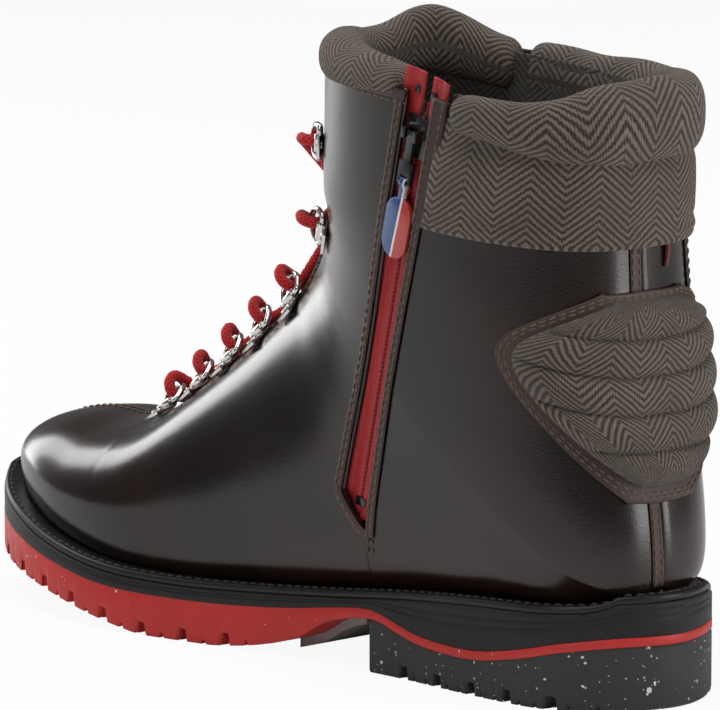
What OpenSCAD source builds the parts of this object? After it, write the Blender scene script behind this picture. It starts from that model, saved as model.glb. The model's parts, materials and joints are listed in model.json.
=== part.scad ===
// Right hiking boot with a side zip, ring lacing and a padded tweed collar.
// Toe towards -X, inner side of the foot towards -Y, ground at Z = 0.

/* [Overall] */
// Length of the sole, toe to heel
boot_l = 303; // [280:1:330]
// Width of the sole at the ball of the foot
ball_w = 108; // [98:1:120]
// Height of the leather at the front of the shaft
shaft_h = 194; // [180:1:215]

/* [Leather] */
// Thickness of the outer leather
leather_t = 1.8; // [1.4:0.1:2.4]
// Gap between two layers of the upper
layer_gap = 0.8; // [0.5:0.05:1]
// Thickness of the lining
lining_t = 1.2; // [0.8:0.1:2]
// Depth of padding under the leather at the ankle
padding_t = 4.4; // [3:0.2:6]
// How far the tweed cuff stands proud of the leather
cuff_t = 2.6; // [1.5:0.1:4]
// Thickness of the quilted heel pad
pad_t = 3.6; // [2:0.2:5]

/* [Sole] */
// How far the welt stands out from the upper
welt_w = 7.5; // [5:0.5:9]
// Thickness of the welt and of the insole board
welt_t = 2.5; // [2:0.1:4]
// Thickness of the footbed
footbed_t = 4; // [3:0.5:6]
// Width of the tread grooves
groove_w = 3.4; // [2:0.2:5]
// Depth of the tread grooves
groove_d = 4; // [2:0.2:5]

/* [Zip] */
// Width of the chain of closed zip teeth
chain_w = 4.4; // [3.5:0.1:6]
// Thickness of the chain
chain_t = 1.4; // [1:0.1:2]
// Width of one zip tape
tape_w = 4.2; // [3.8:0.2:5]
// Thickness of the zip tape
tape_t = 0.6; // [0.4:0.1:1]
// Clearance of the slider around the chain
slider_gap = 0.35; // [0.3:0.05:0.6]
// Diameter of the pull's hinge pins
pull_pin_d = 1.6; // [1.2:0.1:2]

/* [Lacing] */
// Ring wire diameter
wire_d = 2; // [1.6:0.1:2.4]
// Half the height of a ring, and its inner reach
ring_r = 5.2; // [4.6:0.1:6.5]
// Diameter of the lace
lace_d = 3.6; // [3:0.1:4.5]
// Half the gap of the throat at its foot
throat_low = 12; // [10:0.5:16]
// Half the gap of the throat at its top
throat_high = 20; // [15:0.5:26]

/* [Hidden] */

leather_c = [0.13, 0.11, 0.10];
brown_c = [0.24, 0.17, 0.13];
tweed_c = [0.42, 0.37, 0.33];
red_c = [0.82, 0.16, 0.15];
rubber_c = [0.10, 0.10, 0.10];
speckle_c = [0.20, 0.20, 0.20];
steel_c = [0.78, 0.78, 0.78];

// Scale of the last along each axis; above the featherline the height has its own scale
KX = boot_l / 303;
KY = ball_w / 108;
FEATHER_Z = 34;
KZ = (shaft_h - FEATHER_Z) / (194 - FEATHER_Z);
SHIFT_Y = -0.75;

// The last: each row is one slanted section, from the sole or back up to the ridge of the foot
// or the shin. [back x, z, front x, z, centre y, featherline inner y, outer y, widest inner y,
// outer y, place of the widest point, roundness at the back, roundness at the front]
ROWS = [
    [-143.5, 43,  -143.5, 43, 0, 0, 0, -0.1, 0.1, 0.38, 2.2, 2.2],
    [-141.5, 40.5, -141, 52, 0, -13, 13, -15, 15, 0.40, 2.2, 2.2],
    [-134, 37.6, -133, 58.5, 0, -25, 24, -28, 27, 0.40, 2.2, 2.2],
    [-118, 33, -116, 61.5, 0, -36, 33, -38.5, 36, 0.38, 2.3, 2.2],
    [-95, 26.6, -96, 61.5, 0, -43, 41, -45.5, 44, 0.36, 2.3, 2.1],
    [-66, 22, -74, 67, 0, -45.5, 46, -48, 49, 0.35, 2.3, 2],
    [-36, 20.6, -52, 82, 0, -41, 47, -45, 49.5, 0.34, 2.3, 2],
    [-6, 21.6, -32, 97, 0, -35, 43.5, -42, 47, 0.34, 2.3, 2],
    [28, 24.2, -18, 109.5, 0, -30.5, 38, -40.5, 43, 0.35, 2.3, 2],
    [62, 28, -10, 117.5, -1, -29.5, 33, -40, 41, 0.38, 2.4, 2],
    [95, 31, -5, 124, -2, -31, 31.5, -40.8, 39.5, 0.42, 2.5, 2],
    [122, 32.4, -1.5, 129, -3, -29.5, 27, -42, 39, 0.45, 2.6, 2],
    [137, 33.4, 0.5, 133.5, -3, -18, 13, -42.8, 39, 0.47, 2.7, 2],
    [143, 36, 2, 137, -3, -3, -3, -43.2, 39, 0.48, 2.7, 2],
    [143, 52, 3, 140.5, -3, -3, -3, -43.3, 39, 0.48, 2.7, 2],
    [139, 80, 4, 144, -3, -3, -3, -43.3, 39, 0.48, 2.7, 2],
    [134.5, 112, 4.5, 148, -3, -3, -3, -43.4, 40, 0.48, 2.7, 2.1],
    [132.5, 143, 5, 153, -3, -3, -3, -43.8, 41, 0.5, 2.6, 2.2],
    [132.5, 163, 6, 173, -3, -3, -3, -44.6, 42, 0.5, 2.5, 2.2],
    [133, 182, 7, 194, -3, -3, -3, -45.5, 43, 0.5, 2.5, 2.2]];
TOP_S = len(ROWS) - 1;
HEEL_S = 13;        // the first row that starts on the back line, not on the featherline
HEM_S = 17;         // the cuff starts here
THROAT_S = 4.7;     // the foot of the throat

function lift(z) = z < FEATHER_Z ? z : FEATHER_Z + (z - FEATHER_Z) * KZ;
LAST = [for (r = ROWS) [r[0] * KX, lift(r[1]), r[2] * KX, lift(r[3]), r[4] * KY + SHIFT_Y,
                        r[5] * KY + SHIFT_Y, r[6] * KY + SHIFT_Y, r[7] * KY + SHIFT_Y,
                        r[8] * KY + SHIFT_Y, r[9], r[10], r[11]]];

function lerp(a, b, t) = a + (b - a) * t;
function ease(t) = let(u = min(max(t, 0), 1)) u * u * (3 - 2 * u);
function spline(a, b, c, d, u) = 0.5 * (2 * b + (c - a) * u + (2 * a - 5 * b + 4 * c - d) * u * u
                                        + (3 * b - a - 3 * c + d) * u * u * u);

// The toe tip is round: its first row is continued as a mirror image
TIP_ROW = let(b = LAST[0], c = LAST[1]) [for (k = [0:11]) k == 0 || k == 2 ? c[k] : 2 * b[k] - c[k]];

// Row of the last at any place s between rows
function row(s) = let(i = min(max(floor(s), 0), TOP_S - 1), b = LAST[i], c = LAST[i + 1],
                      a = i > 0 ? LAST[i - 1] : TIP_ROW,
                      d = i < TOP_S - 1 ? LAST[i + 2] : 2 * c - b) spline(a, b, c, d, s - i);

// Angles run from 0 at the back line to 180 at the front ridge, negative on the inner side
function reach(r, side) = side < 0 ? r[4] - r[7] : r[8] - r[4];
function foot_reach(r, side) = side < 0 ? r[4] - r[5] : r[6] - r[4];
function start_angle(r, side) =
    let(q = min(max(foot_reach(r, side) / reach(r, side), 0), 0.985)) asin(pow(q, r[10] / 2));

function on_row(r, angle) =
    let(t = angle > 180 ? angle - 360 : angle < -180 ? angle + 360 : angle, side = t < 0 ? -1 : 1,
        a = abs(t), p = a < 90 ? r[10] : r[11], c = pow(abs(cos(a)), 2 / p),
        c0 = pow(cos(start_angle(r, side)), 2 / r[10]),
        e = a < 90 ? r[9] * (1 - c / c0) : r[9] + (1 - r[9]) * c)
    [lerp(r[0], r[2], e), r[4] + side * reach(r, side) * pow(max(sin(a), 0), 2 / p), lerp(r[1], r[3], e)];

function unit(v) = v / norm(v);
function on_last(s, angle) = on_row(row(s), angle);

// Outward normal of the last
function normal_at(s, angle) =
    let(s0 = max(s - 0.04, 0.02), s1 = min(s + 0.04, TOP_S),
        ds = on_last(s1, angle) - on_last(s0, angle),
        da = on_last(s, angle + 1.5) - on_last(s, angle - 1.5))
    unit(cross(da, ds));

// Angle at which a section crosses the side-view line from p to q
function angle_on_line(s, side, p, q) =
    let(r = row(s), d = q - p, b = [r[0], r[1]], f = [r[2], r[3]],
        e = min(max(cross(p - b, d) / cross(f - b, d), 0), 0.999), m = r[9],
        c0 = pow(cos(start_angle(r, side)), 2 / r[10]))
    e < m ? acos(min(pow((1 - e / m) * c0, r[10] / 2), 1))
          : 180 - acos(pow((e - m) / (1 - m), r[11] / 2));

// Side-view lines: the zip on the inner side, and the seams of the outer side
ZIP_LOW = [40 * KX, lift(43)];
ZIP_HIGH = [80 * KX, lift(192)];
ZIP_HALF = 6.5;
HEEL_SEAM_LOW = [112 * KX, lift(30)];
HEEL_SEAM_MID = [126 * KX, lift(76)];
HEEL_SEAM_TOP = [126 * KX, lift(190)];
CUFF_FRONT_LOW = [74 * KX, lift(140)];
CUFF_FRONT_TOP = [86 * KX, lift(190)];

function side_angle(s, side) = start_angle(row(s), side);
function zip_angle(s, shift) = max(side_angle(s, -1),
    angle_on_line(s, -1, ZIP_LOW + [shift, 0], ZIP_HIGH + [shift, 0]));
HEEL_SEAM_S = 9;    // the heel seam crosses only the sections behind this one
function heel_seam_angle(s) = s < HEEL_SEAM_S ? side_angle(s, 1)
    : max(side_angle(s, 1), angle_on_line(s, 1, HEEL_SEAM_LOW, HEEL_SEAM_MID),
          angle_on_line(s, 1, HEEL_SEAM_MID, HEEL_SEAM_TOP));
function cuff_front_angle(s) = angle_on_line(s, 1, CUFF_FRONT_LOW, CUFF_FRONT_TOP);

// Half angle that the throat leaves open, measured from the ridge
function throat_half(s) = lerp(throat_low, throat_high, ease((s - THROAT_S) / (TOP_S - THROAT_S)));
function throat_angle(s, side) = s < THROAT_S ? 179.8
    : let(r = row(s), y = throat_half(s) + r[4] * side * -1)
      180 - asin(pow(min(y / reach(r, side), 0.9), r[11] / 2));

// Depths of the layers of the upper below the outer face
function middle_depth(s) = leather_t + layer_gap + lerp(1, padding_t, ease((s - 4.5) / 3));

// Closed solid between two surfaces of n by m points; outer faces away from inner
module slab(outer, inner) {
    n = len(outer);
    m = len(outer[0]);
    pts = concat([for (r = outer) each r], [for (r = inner) each r]);
    k = n * m;
    faces = concat(
        [for (i = [0:n - 2], j = [0:m - 2]) each
            let(a = i * m + j, b = a + m) [[a, b, a + 1], [a + 1, b, b + 1]]],
        [for (i = [0:n - 2], j = [0:m - 2]) each
            let(a = k + i * m + j, b = a + m) [[a, a + 1, b], [a + 1, b + 1, b]]],
        [for (i = [0:n - 2]) each let(a = i * m, b = a + m) [[a, k + a, b], [b, k + a, k + b]]],
        [for (i = [0:n - 2]) each let(a = i * m + m - 1, b = a + m) [[a, b, k + a], [b, k + b, k + a]]],
        [for (j = [0:m - 2]) each let(a = j, b = j + 1) [[a, b, k + a], [b, k + b, k + a]]],
        [for (j = [0:m - 2]) each let(a = (n - 1) * m + j, b = a + 1) [[a, k + a, b], [b, k + a, k + b]]]);
    polyhedron(pts, faces);
}

// Patch of the upper: place(u, v) gives [s, angle]; the two depths may change with s
module patch(place, n, m, outer_off, inner_off) {
    grid = [for (i = [0:n]) [for (j = [0:m]) let(w = place(i / n, j / m))
        [on_last(w[0], w[1]), normal_at(w[0], w[1]), w[0]]]];
    slab([for (r = grid) [for (q = r) q[0] + q[1] * outer_off(q[2])]],
         [for (r = grid) [for (q = r) q[0] + q[1] * inner_off(q[2])]]);
}

// Panel through a list of sections, between the angles lo(s) and hi(s)
module panel_at(list, lo, hi, m, outer_off, inner_off) {
    n = len(list) - 1;
    patch(function(u, v) let(s = list[round(u * n)]) [s, lerp(lo(s), hi(s), v)], n, m,
          function(s) outer_off, function(s) inner_off);
}

// Panel over sections s0 to s1, between the angles lo(s) and hi(s)
module panel(s0, s1, lo, hi, n, m, outer_off, inner_off) {
    patch(function(u, v) let(s = lerp(s0, s1, u)) [s, lerp(lo(s), hi(s), v)], n, m,
          function(s) outer_off, function(s) inner_off);
}

// ---- Sole -------------------------------------------------------------------------------

SOLE_STEP = 0.25;
FEATHER = concat([for (k = [HEEL_S:-1:1]) [LAST[k][0], LAST[k][5]]], [[LAST[0][0], LAST[0][4]]],
                 [for (k = [1:HEEL_S - 1]) [LAST[k][0], LAST[k][6]]]);
function loop_point(list, t) = let(n = len(list), i = floor(t), u = t - i)
    spline(list[(i + n - 1) % n], list[i % n], list[(i + 1) % n], list[(i + 2) % n], u);
// Plan outline of the sole, a set distance outside the featherline
function outline(e) = [for (t = [0:SOLE_STEP:len(FEATHER) - SOLE_STEP])
    let(p = loop_point(FEATHER, t), q = unit(loop_point(FEATHER, t + 0.05) - p)) p + e * [-q[1], q[0]]];

// Height of the featherline along the sole
FEATHER_LINE = [for (k = [0:HEEL_S]) [LAST[k][0], k == 0 ? LAST[1][1] + 1.5 : LAST[k][1]]];
MIDSOLE_FOOT = [[-155, 34.5], [-140, 30], [-125, 26], [-95, 19.3], [-60, 14.3], [-20, 13.8], [10, 15.8],
                [30, 18.5], [47, 20.1], [60, 17], [72, 14.6], [95, 14.2], [115, 17.5], [130, 21],
                [145, 23], [157, 22.5]];
OUTSOLE_FOOT = [[-155, 23.5], [-140, 17.5], [-125, 14], [-95, 8.6], [-62, 2.6], [-45, 0], [-20, 0], [0, 2.5],
                [16, 7], [28, 13.5], [47, 17.1], [60, 14], [72, 11.6], [95, 11.2], [115, 14.5],
                [130, 18], [145, 20], [157, 19.5]];
BREAST_X = 47;
ARCH_PLATE_T = 3;

function profile(list) = [for (p = list) [p[0] * KX, p[1]]];
function smooth(list, n) = let(k = len(list) - 1) [for (i = [0:k - 1], j = [0:n - 1])
    let(a = i > 0 ? list[i - 1] : 2 * list[0] - list[1],
        d = i < k - 1 ? list[i + 2] : 2 * list[k] - list[k - 1])
    spline(a, list[i], list[i + 1], d, j / n)];

// Solid between two side-view lines, right across the boot
module band(upper, lower) {
    back = [for (i = [len(lower) - 1:-1:0]) lower[i]];
    translate([0, 80, 0]) rotate([90, 0, 0]) linear_extrude(160) polygon(concat(upper, back));
}
function lowered(list, d) = [for (p = list) [p[0], p[1] - d]];
TOP_LINE = concat([[-170, FEATHER_LINE[0][1] + 6]], smooth(FEATHER_LINE, 4),
                  [FEATHER_LINE[HEEL_S], [170, FEATHER_LINE[HEEL_S][1] + 0.5]]);
SEAT_GAP = 0.3;
MID_LINE = concat(smooth(profile(MIDSOLE_FOOT), 3), [profile(MIDSOLE_FOOT)[15]]);
LOW_LINE = concat(smooth(profile(OUTSOLE_FOOT), 3), [profile(OUTSOLE_FOOT)[17]]);

module plan(e) { linear_extrude(70) polygon(outline(e)); }
module layer(e, upper, lower) {
    intersection() {
        plan(e);
        band(upper, lower);
    }
}

// Transverse tread grooves, square to the slope of the sole
FRONT_GROOVES = [-128, -112, -96, -80, -64, -48, -32, -16];
HEEL_GROOVES = [62, 78, 94, 110, 126];
function height_on(list, x) = lookup(x, list);
module tread_groove(x, w) {
    slope = atan((height_on(LOW_LINE, x + 3) - height_on(LOW_LINE, x - 3)) / 6);
    z = height_on(LOW_LINE, x);
    translate([x, 0, z]) rotate([0, -slope, 0]) {
        for (side = [-1, 1])
            translate([0, side * 55 * KY, 0]) rotate([0, 0, side * 12]) cube([w, 70, 2 * groove_d], center = true);
    }
}

module outsole() {
    color(red_c) difference() {
        layer(welt_w, MID_LINE, LOW_LINE);
        for (x = FRONT_GROOVES) tread_groove(x * KX, groove_w);
    }
}

module heel_block() {
    color(speckle_c) difference() {
        intersection() {
            plan(welt_w);
            band(LOW_LINE, [[-160, -1], [170, -1]]);
            translate([BREAST_X * KX, -80, 0]) cube([130, 160, 40]);
        }
        for (x = HEEL_GROOVES, side = [-1, 1])
            translate([x * KX, side * 42 * KY, 0]) rotate([0, 0, side * 8])
                cube([groove_w, 40, 2 * groove_d], center = true);
    }
}

module arch_plate() {
    color([0.75, 0.74, 0.70]) intersection() {
        plan(-4);
        band(LOW_LINE, lowered(LOW_LINE, ARCH_PLATE_T));
        translate([6 * KX, -80, 0]) cube([28 * KX, 160, 40]);
    }
}

SHANK_L = 96;
SHANK_W = 14;
SHANK_T = 1.2;
SHANK_SLOPE = 5;
module shank_bar(gap) {
    translate([22 * KX, 2, height_on(TOP_LINE, 22 * KX) - welt_t - 1.6]) rotate([0, -SHANK_SLOPE, 0])
        cube([SHANK_L + 2 * gap, SHANK_W + 2 * gap, SHANK_T + 2 * gap], center = true);
}
module shank() { color(steel_c) shank_bar(0); }

module midsole() {
    color(rubber_c) difference() {
        layer(welt_w, lowered(TOP_LINE, SEAT_GAP + welt_t), MID_LINE);
        shank_bar(0.2);
    }
}

BOARD_INSET = 4;
module welt() {
    color(rubber_c) difference() {
        layer(welt_w - 0.4, lowered(TOP_LINE, SEAT_GAP), lowered(TOP_LINE, SEAT_GAP + welt_t));
        plan(-BOARD_INSET);
    }
}
module insole_board() {
    color([0.62, 0.52, 0.38])
        layer(-BOARD_INSET, lowered(TOP_LINE, SEAT_GAP), lowered(TOP_LINE, SEAT_GAP + welt_t));
}
FOOTBED_INSET = 9.5;
module footbed() {
    color([0.3, 0.3, 0.3])
        layer(-FOOTBED_INSET, lowered(TOP_LINE, -footbed_t), lowered(TOP_LINE, SEAT_GAP));
}

// ---- Upper ------------------------------------------------------------------------------

TIP_S = 0.08;
// The sections stand closer where the zip leaves the sole
VAMP_S = [TIP_S, 0.35, 0.7, 1.1, 1.6, 2.2, 3, 3.8, 4.65, 4.75, 5.4, 6, 6.6, 7.2, 7.7, 8.1, 8.25, 8.4, 8.55, 8.7,
          8.9, 9.2, 9.6, 10.2, 11, 12, 13, 14, 15, 16, 16.6, 17.2, 18, TOP_S];
module vamp_medial() {
    color(leather_c) panel_at(VAMP_S, function(s) -throat_angle(s, -1),
        function(s) -zip_angle(s, -ZIP_HALF), 14, 0, -leather_t);
}
REAR_S = [8.76, 8.84, 8.95, 9.1, 9.35, 9.7, 10.2, 10.7, 11.2, 11.7, 12.2, 12.6, 13, 13.5, 14, 14.7, 15.4, 16.2, HEM_S - 0.03];
module quarter_medial() {
    color(leather_c) panel_at(REAR_S, function(s) -zip_angle(s, ZIP_HALF + 0.5),
        function(s) -max(side_angle(s, -1), 0.2), 12, 0, -leather_t);
}
module quarter_lateral() {
    color(leather_c) panel(TIP_S, HEM_S - 0.03, function(s) heel_seam_angle(s) + 0.2,
        function(s) throat_angle(s, 1), 32, 14, 0, -leather_t);
}
module shaft_lateral() {
    color(leather_c) panel(HEM_S + 0.02, TOP_S, function(s) cuff_front_angle(s) + 0.5,
        function(s) throat_angle(s, 1), 4, 6, 0, -leather_t);
}
module back_lateral() {
    color(leather_c) panel(10.9, HEM_S - 0.03, function(s) max(side_angle(s, 1), 0.2),
        function(s) max(heel_seam_angle(s) - 0.2, side_angle(s, 1) + 1), 16, 3, 0, -leather_t);
}
// Leather behind the two edges of the zip, below its foot
ZIP_BASE_TOP = lift(45);
module zip_base() {
    color(leather_c) panel(7.85, 9, function(s) -angle_on_line(s, -1, [0, ZIP_BASE_TOP], [100, ZIP_BASE_TOP]),
        function(s) -side_angle(s, -1), 8, 3, -leather_t - layer_gap, -2 * leather_t - layer_gap);
}

module toe_puff() {
    color([0.7, 0.66, 0.55]) panel(0.25, 3.2, function(s) -360 + side_angle(s, 1), function(s) -side_angle(s, -1),
        10, 24, -leather_t - layer_gap, -leather_t - layer_gap - 1);
}
COUNTER_TOP = 15.6;
module heel_counter() {
    wrap = function(u, v) let(w = 2 * v - 1, side = w < 0 ? -1 : 1, s0 = HEEL_S - 3 * abs(w), a0 = side_angle(s0, side))
        [lerp(s0, COUNTER_TOP, u), side * lerp(max(a0, 0), 62 * abs(w), u)];
    color([0.7, 0.66, 0.55]) patch(wrap, 9, 24, function(s) -leather_t - layer_gap,
        function(s) -leather_t - layer_gap - 1.2);
}
FOAM_S = 15.75;
module ankle_foam() {
    color([0.85, 0.8, 0.6]) panel(FOAM_S, TOP_S - 0.1, function(s) -zip_angle(s, ZIP_HALF + 6),
        function(s) cuff_front_angle(s), 7, 16, -leather_t - layer_gap, -leather_t - layer_gap - padding_t);
}
module lining_front() {
    color([0.12, 0.12, 0.12]) patch(function(u, v) let(s = lerp(0.5, TOP_S, u),
        a = s < 8.1 ? side_angle(s, -1) : max(zip_angle(s, -ZIP_HALF - 1), side_angle(s, -1)),
        b = s < 8.1 ? side_angle(s, 1) : max(lateral_join(s), side_angle(s, 1)))
        [s, lerp(-360 + b, -a, v)], 24, 24,
        function(s) -middle_depth(s) - layer_gap, function(s) -middle_depth(s) - layer_gap - lining_t);
}
// Seam between the front and the rear lining on the outer side
JOIN_LOW = [38 * KX, lift(20)];
JOIN_HIGH = [78 * KX, lift(192)];
function lateral_join(s) = angle_on_line(s, 1, JOIN_LOW, JOIN_HIGH);
module lining_rear() {
    color([0.12, 0.12, 0.12]) {
        patch(function(u, v) let(s = lerp(8.8, TOP_S, u))
            [s, -lerp(zip_angle(s, ZIP_HALF + 1), max(side_angle(s, -1), 0.2), v)], 16, 6,
            function(s) -middle_depth(s) - layer_gap, function(s) -middle_depth(s) - layer_gap - lining_t);
        patch(function(u, v) let(s = lerp(8.8, TOP_S, u))
            [s, lerp(max(side_angle(s, 1), 0.2), max(lateral_join(s), side_angle(s, 1) + 1) - 0.5, v)], 16, 6,
            function(s) -middle_depth(s) - layer_gap, function(s) -middle_depth(s) - layer_gap - lining_t);
    }
}
TONGUE_UNDER = 14;
module tongue() {
    color(tweed_c) patch(function(u, v) let(s = lerp(THROAT_S - 0.4, TOP_S - 0.02, u))
        [s, lerp(-360 + throat_angle(max(s, THROAT_S), 1) - TONGUE_UNDER,
                 -throat_angle(max(s, THROAT_S), -1) + TONGUE_UNDER, v)], 24, 10,
        function(s) -leather_t - layer_gap, function(s) -middle_depth(s));
}
module throat_binding() {
    color(brown_c) for (side = [-1, 1])
        patch(function(u, v) let(s = lerp(THROAT_S + 0.05, TOP_S - 0.1, u), a = throat_angle(s, side))
            [s, side * a + lerp(side < 0 ? -0.5 : -1.5, side < 0 ? 1.5 : 0.5, v)], 24, 1,
            function(s) 0.8, function(s) 0.15);
}

// Leaf shape on the back of the heel, for the pad and its leather surround
PAD_LOW_S = 14.55;
PAD_TOP_S = 16.5;
function pad_half(u) = 5 + 60 * pow(sin(180 * pow(u, 1.35)), 0.75);
module pad_leaf(grow, n, m, outer_off, inner_off) {
    color(grow > 0 ? brown_c : tweed_c) patch(function(u, v) let(s = lerp(PAD_LOW_S - grow * 0.1, PAD_TOP_S + grow * 0.05, u),
        h = pad_half(lerp(0.02, 0.98, u)) + grow * 4) [s, lerp(-h, h, v)], n, m,
        function(s) outer_off, function(s) inner_off);
}
TRIM_T = 1;
module heel_pad_trim() { pad_leaf(1, 12, 16, layer_gap + TRIM_T, layer_gap); }
module heel_pad() { pad_leaf(0, 12, 16, 2 * layer_gap + TRIM_T + pad_t, 2 * layer_gap + TRIM_T); }

STRIP_W = 6;
module collar_cuff() {
    color(tweed_c) panel(HEM_S + 0.02, TOP_S, function(s) -zip_angle(s, ZIP_HALF + STRIP_W + 1),
        function(s) cuff_front_angle(s) - 0.5, 5, 22, cuff_t, -leather_t);
}
module cuff_strip() {
    color(brown_c) patch(function(u, v) let(s = lerp(HEM_S + 0.02, TOP_S, u))
        [s, -lerp(zip_angle(s, ZIP_HALF + 0.8), zip_angle(s, ZIP_HALF + STRIP_W + 0.6), v)], 5, 2,
        function(s) cuff_t - 1, function(s) -leather_t);
}

// Padded roll along the top edge from one angle to another; half height h, half depth d
module top_roll(from, to, n, h, d, rise) {
    rings = [for (i = [0:n]) let(a = lerp(from, to, i / n), p = on_last(TOP_S, a),
        q = on_last(TOP_S, a + 2) - on_last(TOP_S, a - 2), inward = unit([-q[1], q[0], 0]))
        [for (k = [0:11]) p + inward * d * (0.5 + cos(30 * k)) + [0, 0, rise + h * sin(30 * k)]]];
    m = 12;
    pts = [for (r = rings) each r];
    faces = concat([for (i = [0:n - 1], k = [0:m - 1]) each
        let(a = i * m + k, b = i * m + (k + 1) % m) [[a, a + m, b], [b, a + m, b + m]]],
        [[for (k = [0:m - 1]) k]], [[for (k = [m - 1:-1:0]) n * m + k]]);
    polyhedron(pts, faces);
}
ROLL_D = 6.5;
ROLL_H = 5.7;
module collar_roll() {
    color(tweed_c) top_roll(-zip_angle(TOP_S, ZIP_HALF + 8), 112, 26, ROLL_H, ROLL_D, ROLL_H + SEAT_GAP);
}
module tongue_roll() {
    color(tweed_c) top_roll(116, 360 - zip_angle(TOP_S, -ZIP_HALF - 8), 20, ROLL_H, ROLL_D, ROLL_H + SEAT_GAP);
}

module rear_tag() {
    p = on_last(HEM_S, 6) + [cuff_t + 0.4, 0, 4];
    color([0.2, 0.3, 0.6]) translate(p) rotate([0, 8, 0]) translate([0, 0, -14]) cube([1, 9, 14]);
}

// ---- Zip --------------------------------------------------------------------------------

// The zip lies on one straight line; its own frame has X across towards the toe, Y outward, Z up
ZIP_DEPTH = 3.6;
ZIP_A = on_last(9.02, -zip_angle(9.02, 0));
ZIP_B = on_last(TOP_S - 0.1, -zip_angle(TOP_S - 0.1, 0));
ZIP_AXIS = unit(ZIP_B - ZIP_A);
ZIP_OUT = unit(cross(cross(ZIP_AXIS, [0, -1, 0]), ZIP_AXIS));
ZIP_X = cross(ZIP_OUT, ZIP_AXIS);
ZIP_LEN = norm(ZIP_B - ZIP_A);
module zip_frame() {
    multmatrix([[ZIP_X[0], ZIP_OUT[0], ZIP_AXIS[0], ZIP_A[0]], [ZIP_X[1], ZIP_OUT[1], ZIP_AXIS[1], ZIP_A[1]],
                [ZIP_X[2], ZIP_OUT[2], ZIP_AXIS[2], ZIP_A[2]], [0, 0, 0, 1]])
        translate([0, -ZIP_DEPTH, 0]) children();
}

module zip_tape_front() {
    color(red_c) zip_frame() translate([chain_w / 2 + 0.1, 0, -4]) cube([tape_w, tape_t, ZIP_LEN + 12]);
}
module zip_tape_rear() {
    color(red_c) zip_frame() translate([-chain_w / 2 - 0.1 - tape_w, 0, -4]) cube([tape_w, tape_t, ZIP_LEN + 12]);
}
STOP_H = 3;
SLIDER_L = 13;
WEDGE_W = 1.2;
ROW_GAP = WEDGE_W + 2 * slider_gap;
module zip_chain() {
    row_w = (chain_w - ROW_GAP) / 2;
    color([0.55, 0.1, 0.1]) zip_frame() for (x = [-chain_w / 2, ROW_GAP / 2])
        translate([x, tape_t / 2 - chain_t / 2, STOP_H + 0.3]) cube([row_w, chain_t, ZIP_LEN - STOP_H - 0.3]);
}
module zip_stops() {
    color(steel_c) zip_frame() {
        translate([-chain_w / 2, tape_t / 2 - 1, 0]) cube([chain_w, 2, STOP_H]);
        for (x = [-1, 1]) translate([x * (chain_w / 2 + 1.4) - 1, tape_t / 2 + tape_t / 2 + 0.05, ZIP_LEN + 1])
            cube([2, 1, 2.6]);
    }
}
// Slider, with its middle at height SLIDER_Z along the zip when the zip is closed
SLIDER_Z = ZIP_LEN - 12;
SLIDER_W = 9;
PLATE_T = 1.3;
BAIL_Y = tape_t / 2 + chain_t / 2 + slider_gap + PLATE_T + 1.7;
BAIL_Z = SLIDER_Z + 1;
module zip_slider() {
    mid = tape_t / 2;
    color([0.05, 0.05, 0.05]) zip_frame() difference() {
        union() {
            for (y = [mid + chain_t / 2 + slider_gap, mid - chain_t / 2 - slider_gap - PLATE_T])
                translate([-SLIDER_W / 2, y, SLIDER_Z - SLIDER_L / 2]) cube([SLIDER_W, PLATE_T, SLIDER_L]);
            for (x = [-1, 1]) translate([x * (SLIDER_W / 2 - 0.5) - 0.5, mid + tape_t / 2 + slider_gap, SLIDER_Z - SLIDER_L / 2])
                cube([1, chain_t / 2 + 0.1, SLIDER_L]);
            translate([-WEDGE_W / 2, mid - chain_t / 2 - slider_gap - 0.1, SLIDER_Z + SLIDER_L / 2 - 2.2])
                cube([WEDGE_W, chain_t + 2 * slider_gap + 0.2, 2.2]);
            for (x = [-1, 1]) translate([x * 2.6 - 0.7, mid + chain_t / 2 + slider_gap + 0.2, BAIL_Z - 1.8])
                cube([1.4, BAIL_Y - mid - chain_t / 2 - slider_gap + 1.4, 3.6]);
        }
        translate([-8, BAIL_Y, BAIL_Z]) rotate([0, 90, 0]) cylinder(d = pull_pin_d + 0.2, h = 16, $fn = 32);
    }
}
// Pull plate hanging from the slider on its pin, and the tag hanging from the plate
PULL_L = 17;
PULL_T = 1.3;
TAG_L = 20;
TAG_W = 11;
TAG_T = 1.6;
PULL_END_Z = BAIL_Z - PULL_L;
module zip_pull() {
    color([0.25, 0.25, 0.25]) zip_frame() {
        translate([-3.2, BAIL_Y, BAIL_Z]) rotate([0, 90, 0]) cylinder(d = pull_pin_d, h = 6.4, $fn = 32);
        translate([-1.5, BAIL_Y - PULL_T / 2, PULL_END_Z + 3.4]) cube([3, PULL_T, PULL_L - 3.4]);
        difference() {
            translate([-3, BAIL_Y - PULL_T / 2, PULL_END_Z + 1.8]) cube([6, PULL_T, 6]);
            translate([-1.6, BAIL_Y - 4, PULL_END_Z]) cube([3.2, 8, 3.6]);
        }
        translate([-3, BAIL_Y, PULL_END_Z + 1]) rotate([0, 90, 0]) cylinder(d = pull_pin_d, h = 6, $fn = 32);
        for (x = [-3, 2]) translate([x, BAIL_Y - PULL_T / 2, PULL_END_Z + 0.4]) cube([1, PULL_T, 3]);
    }
}
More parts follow.
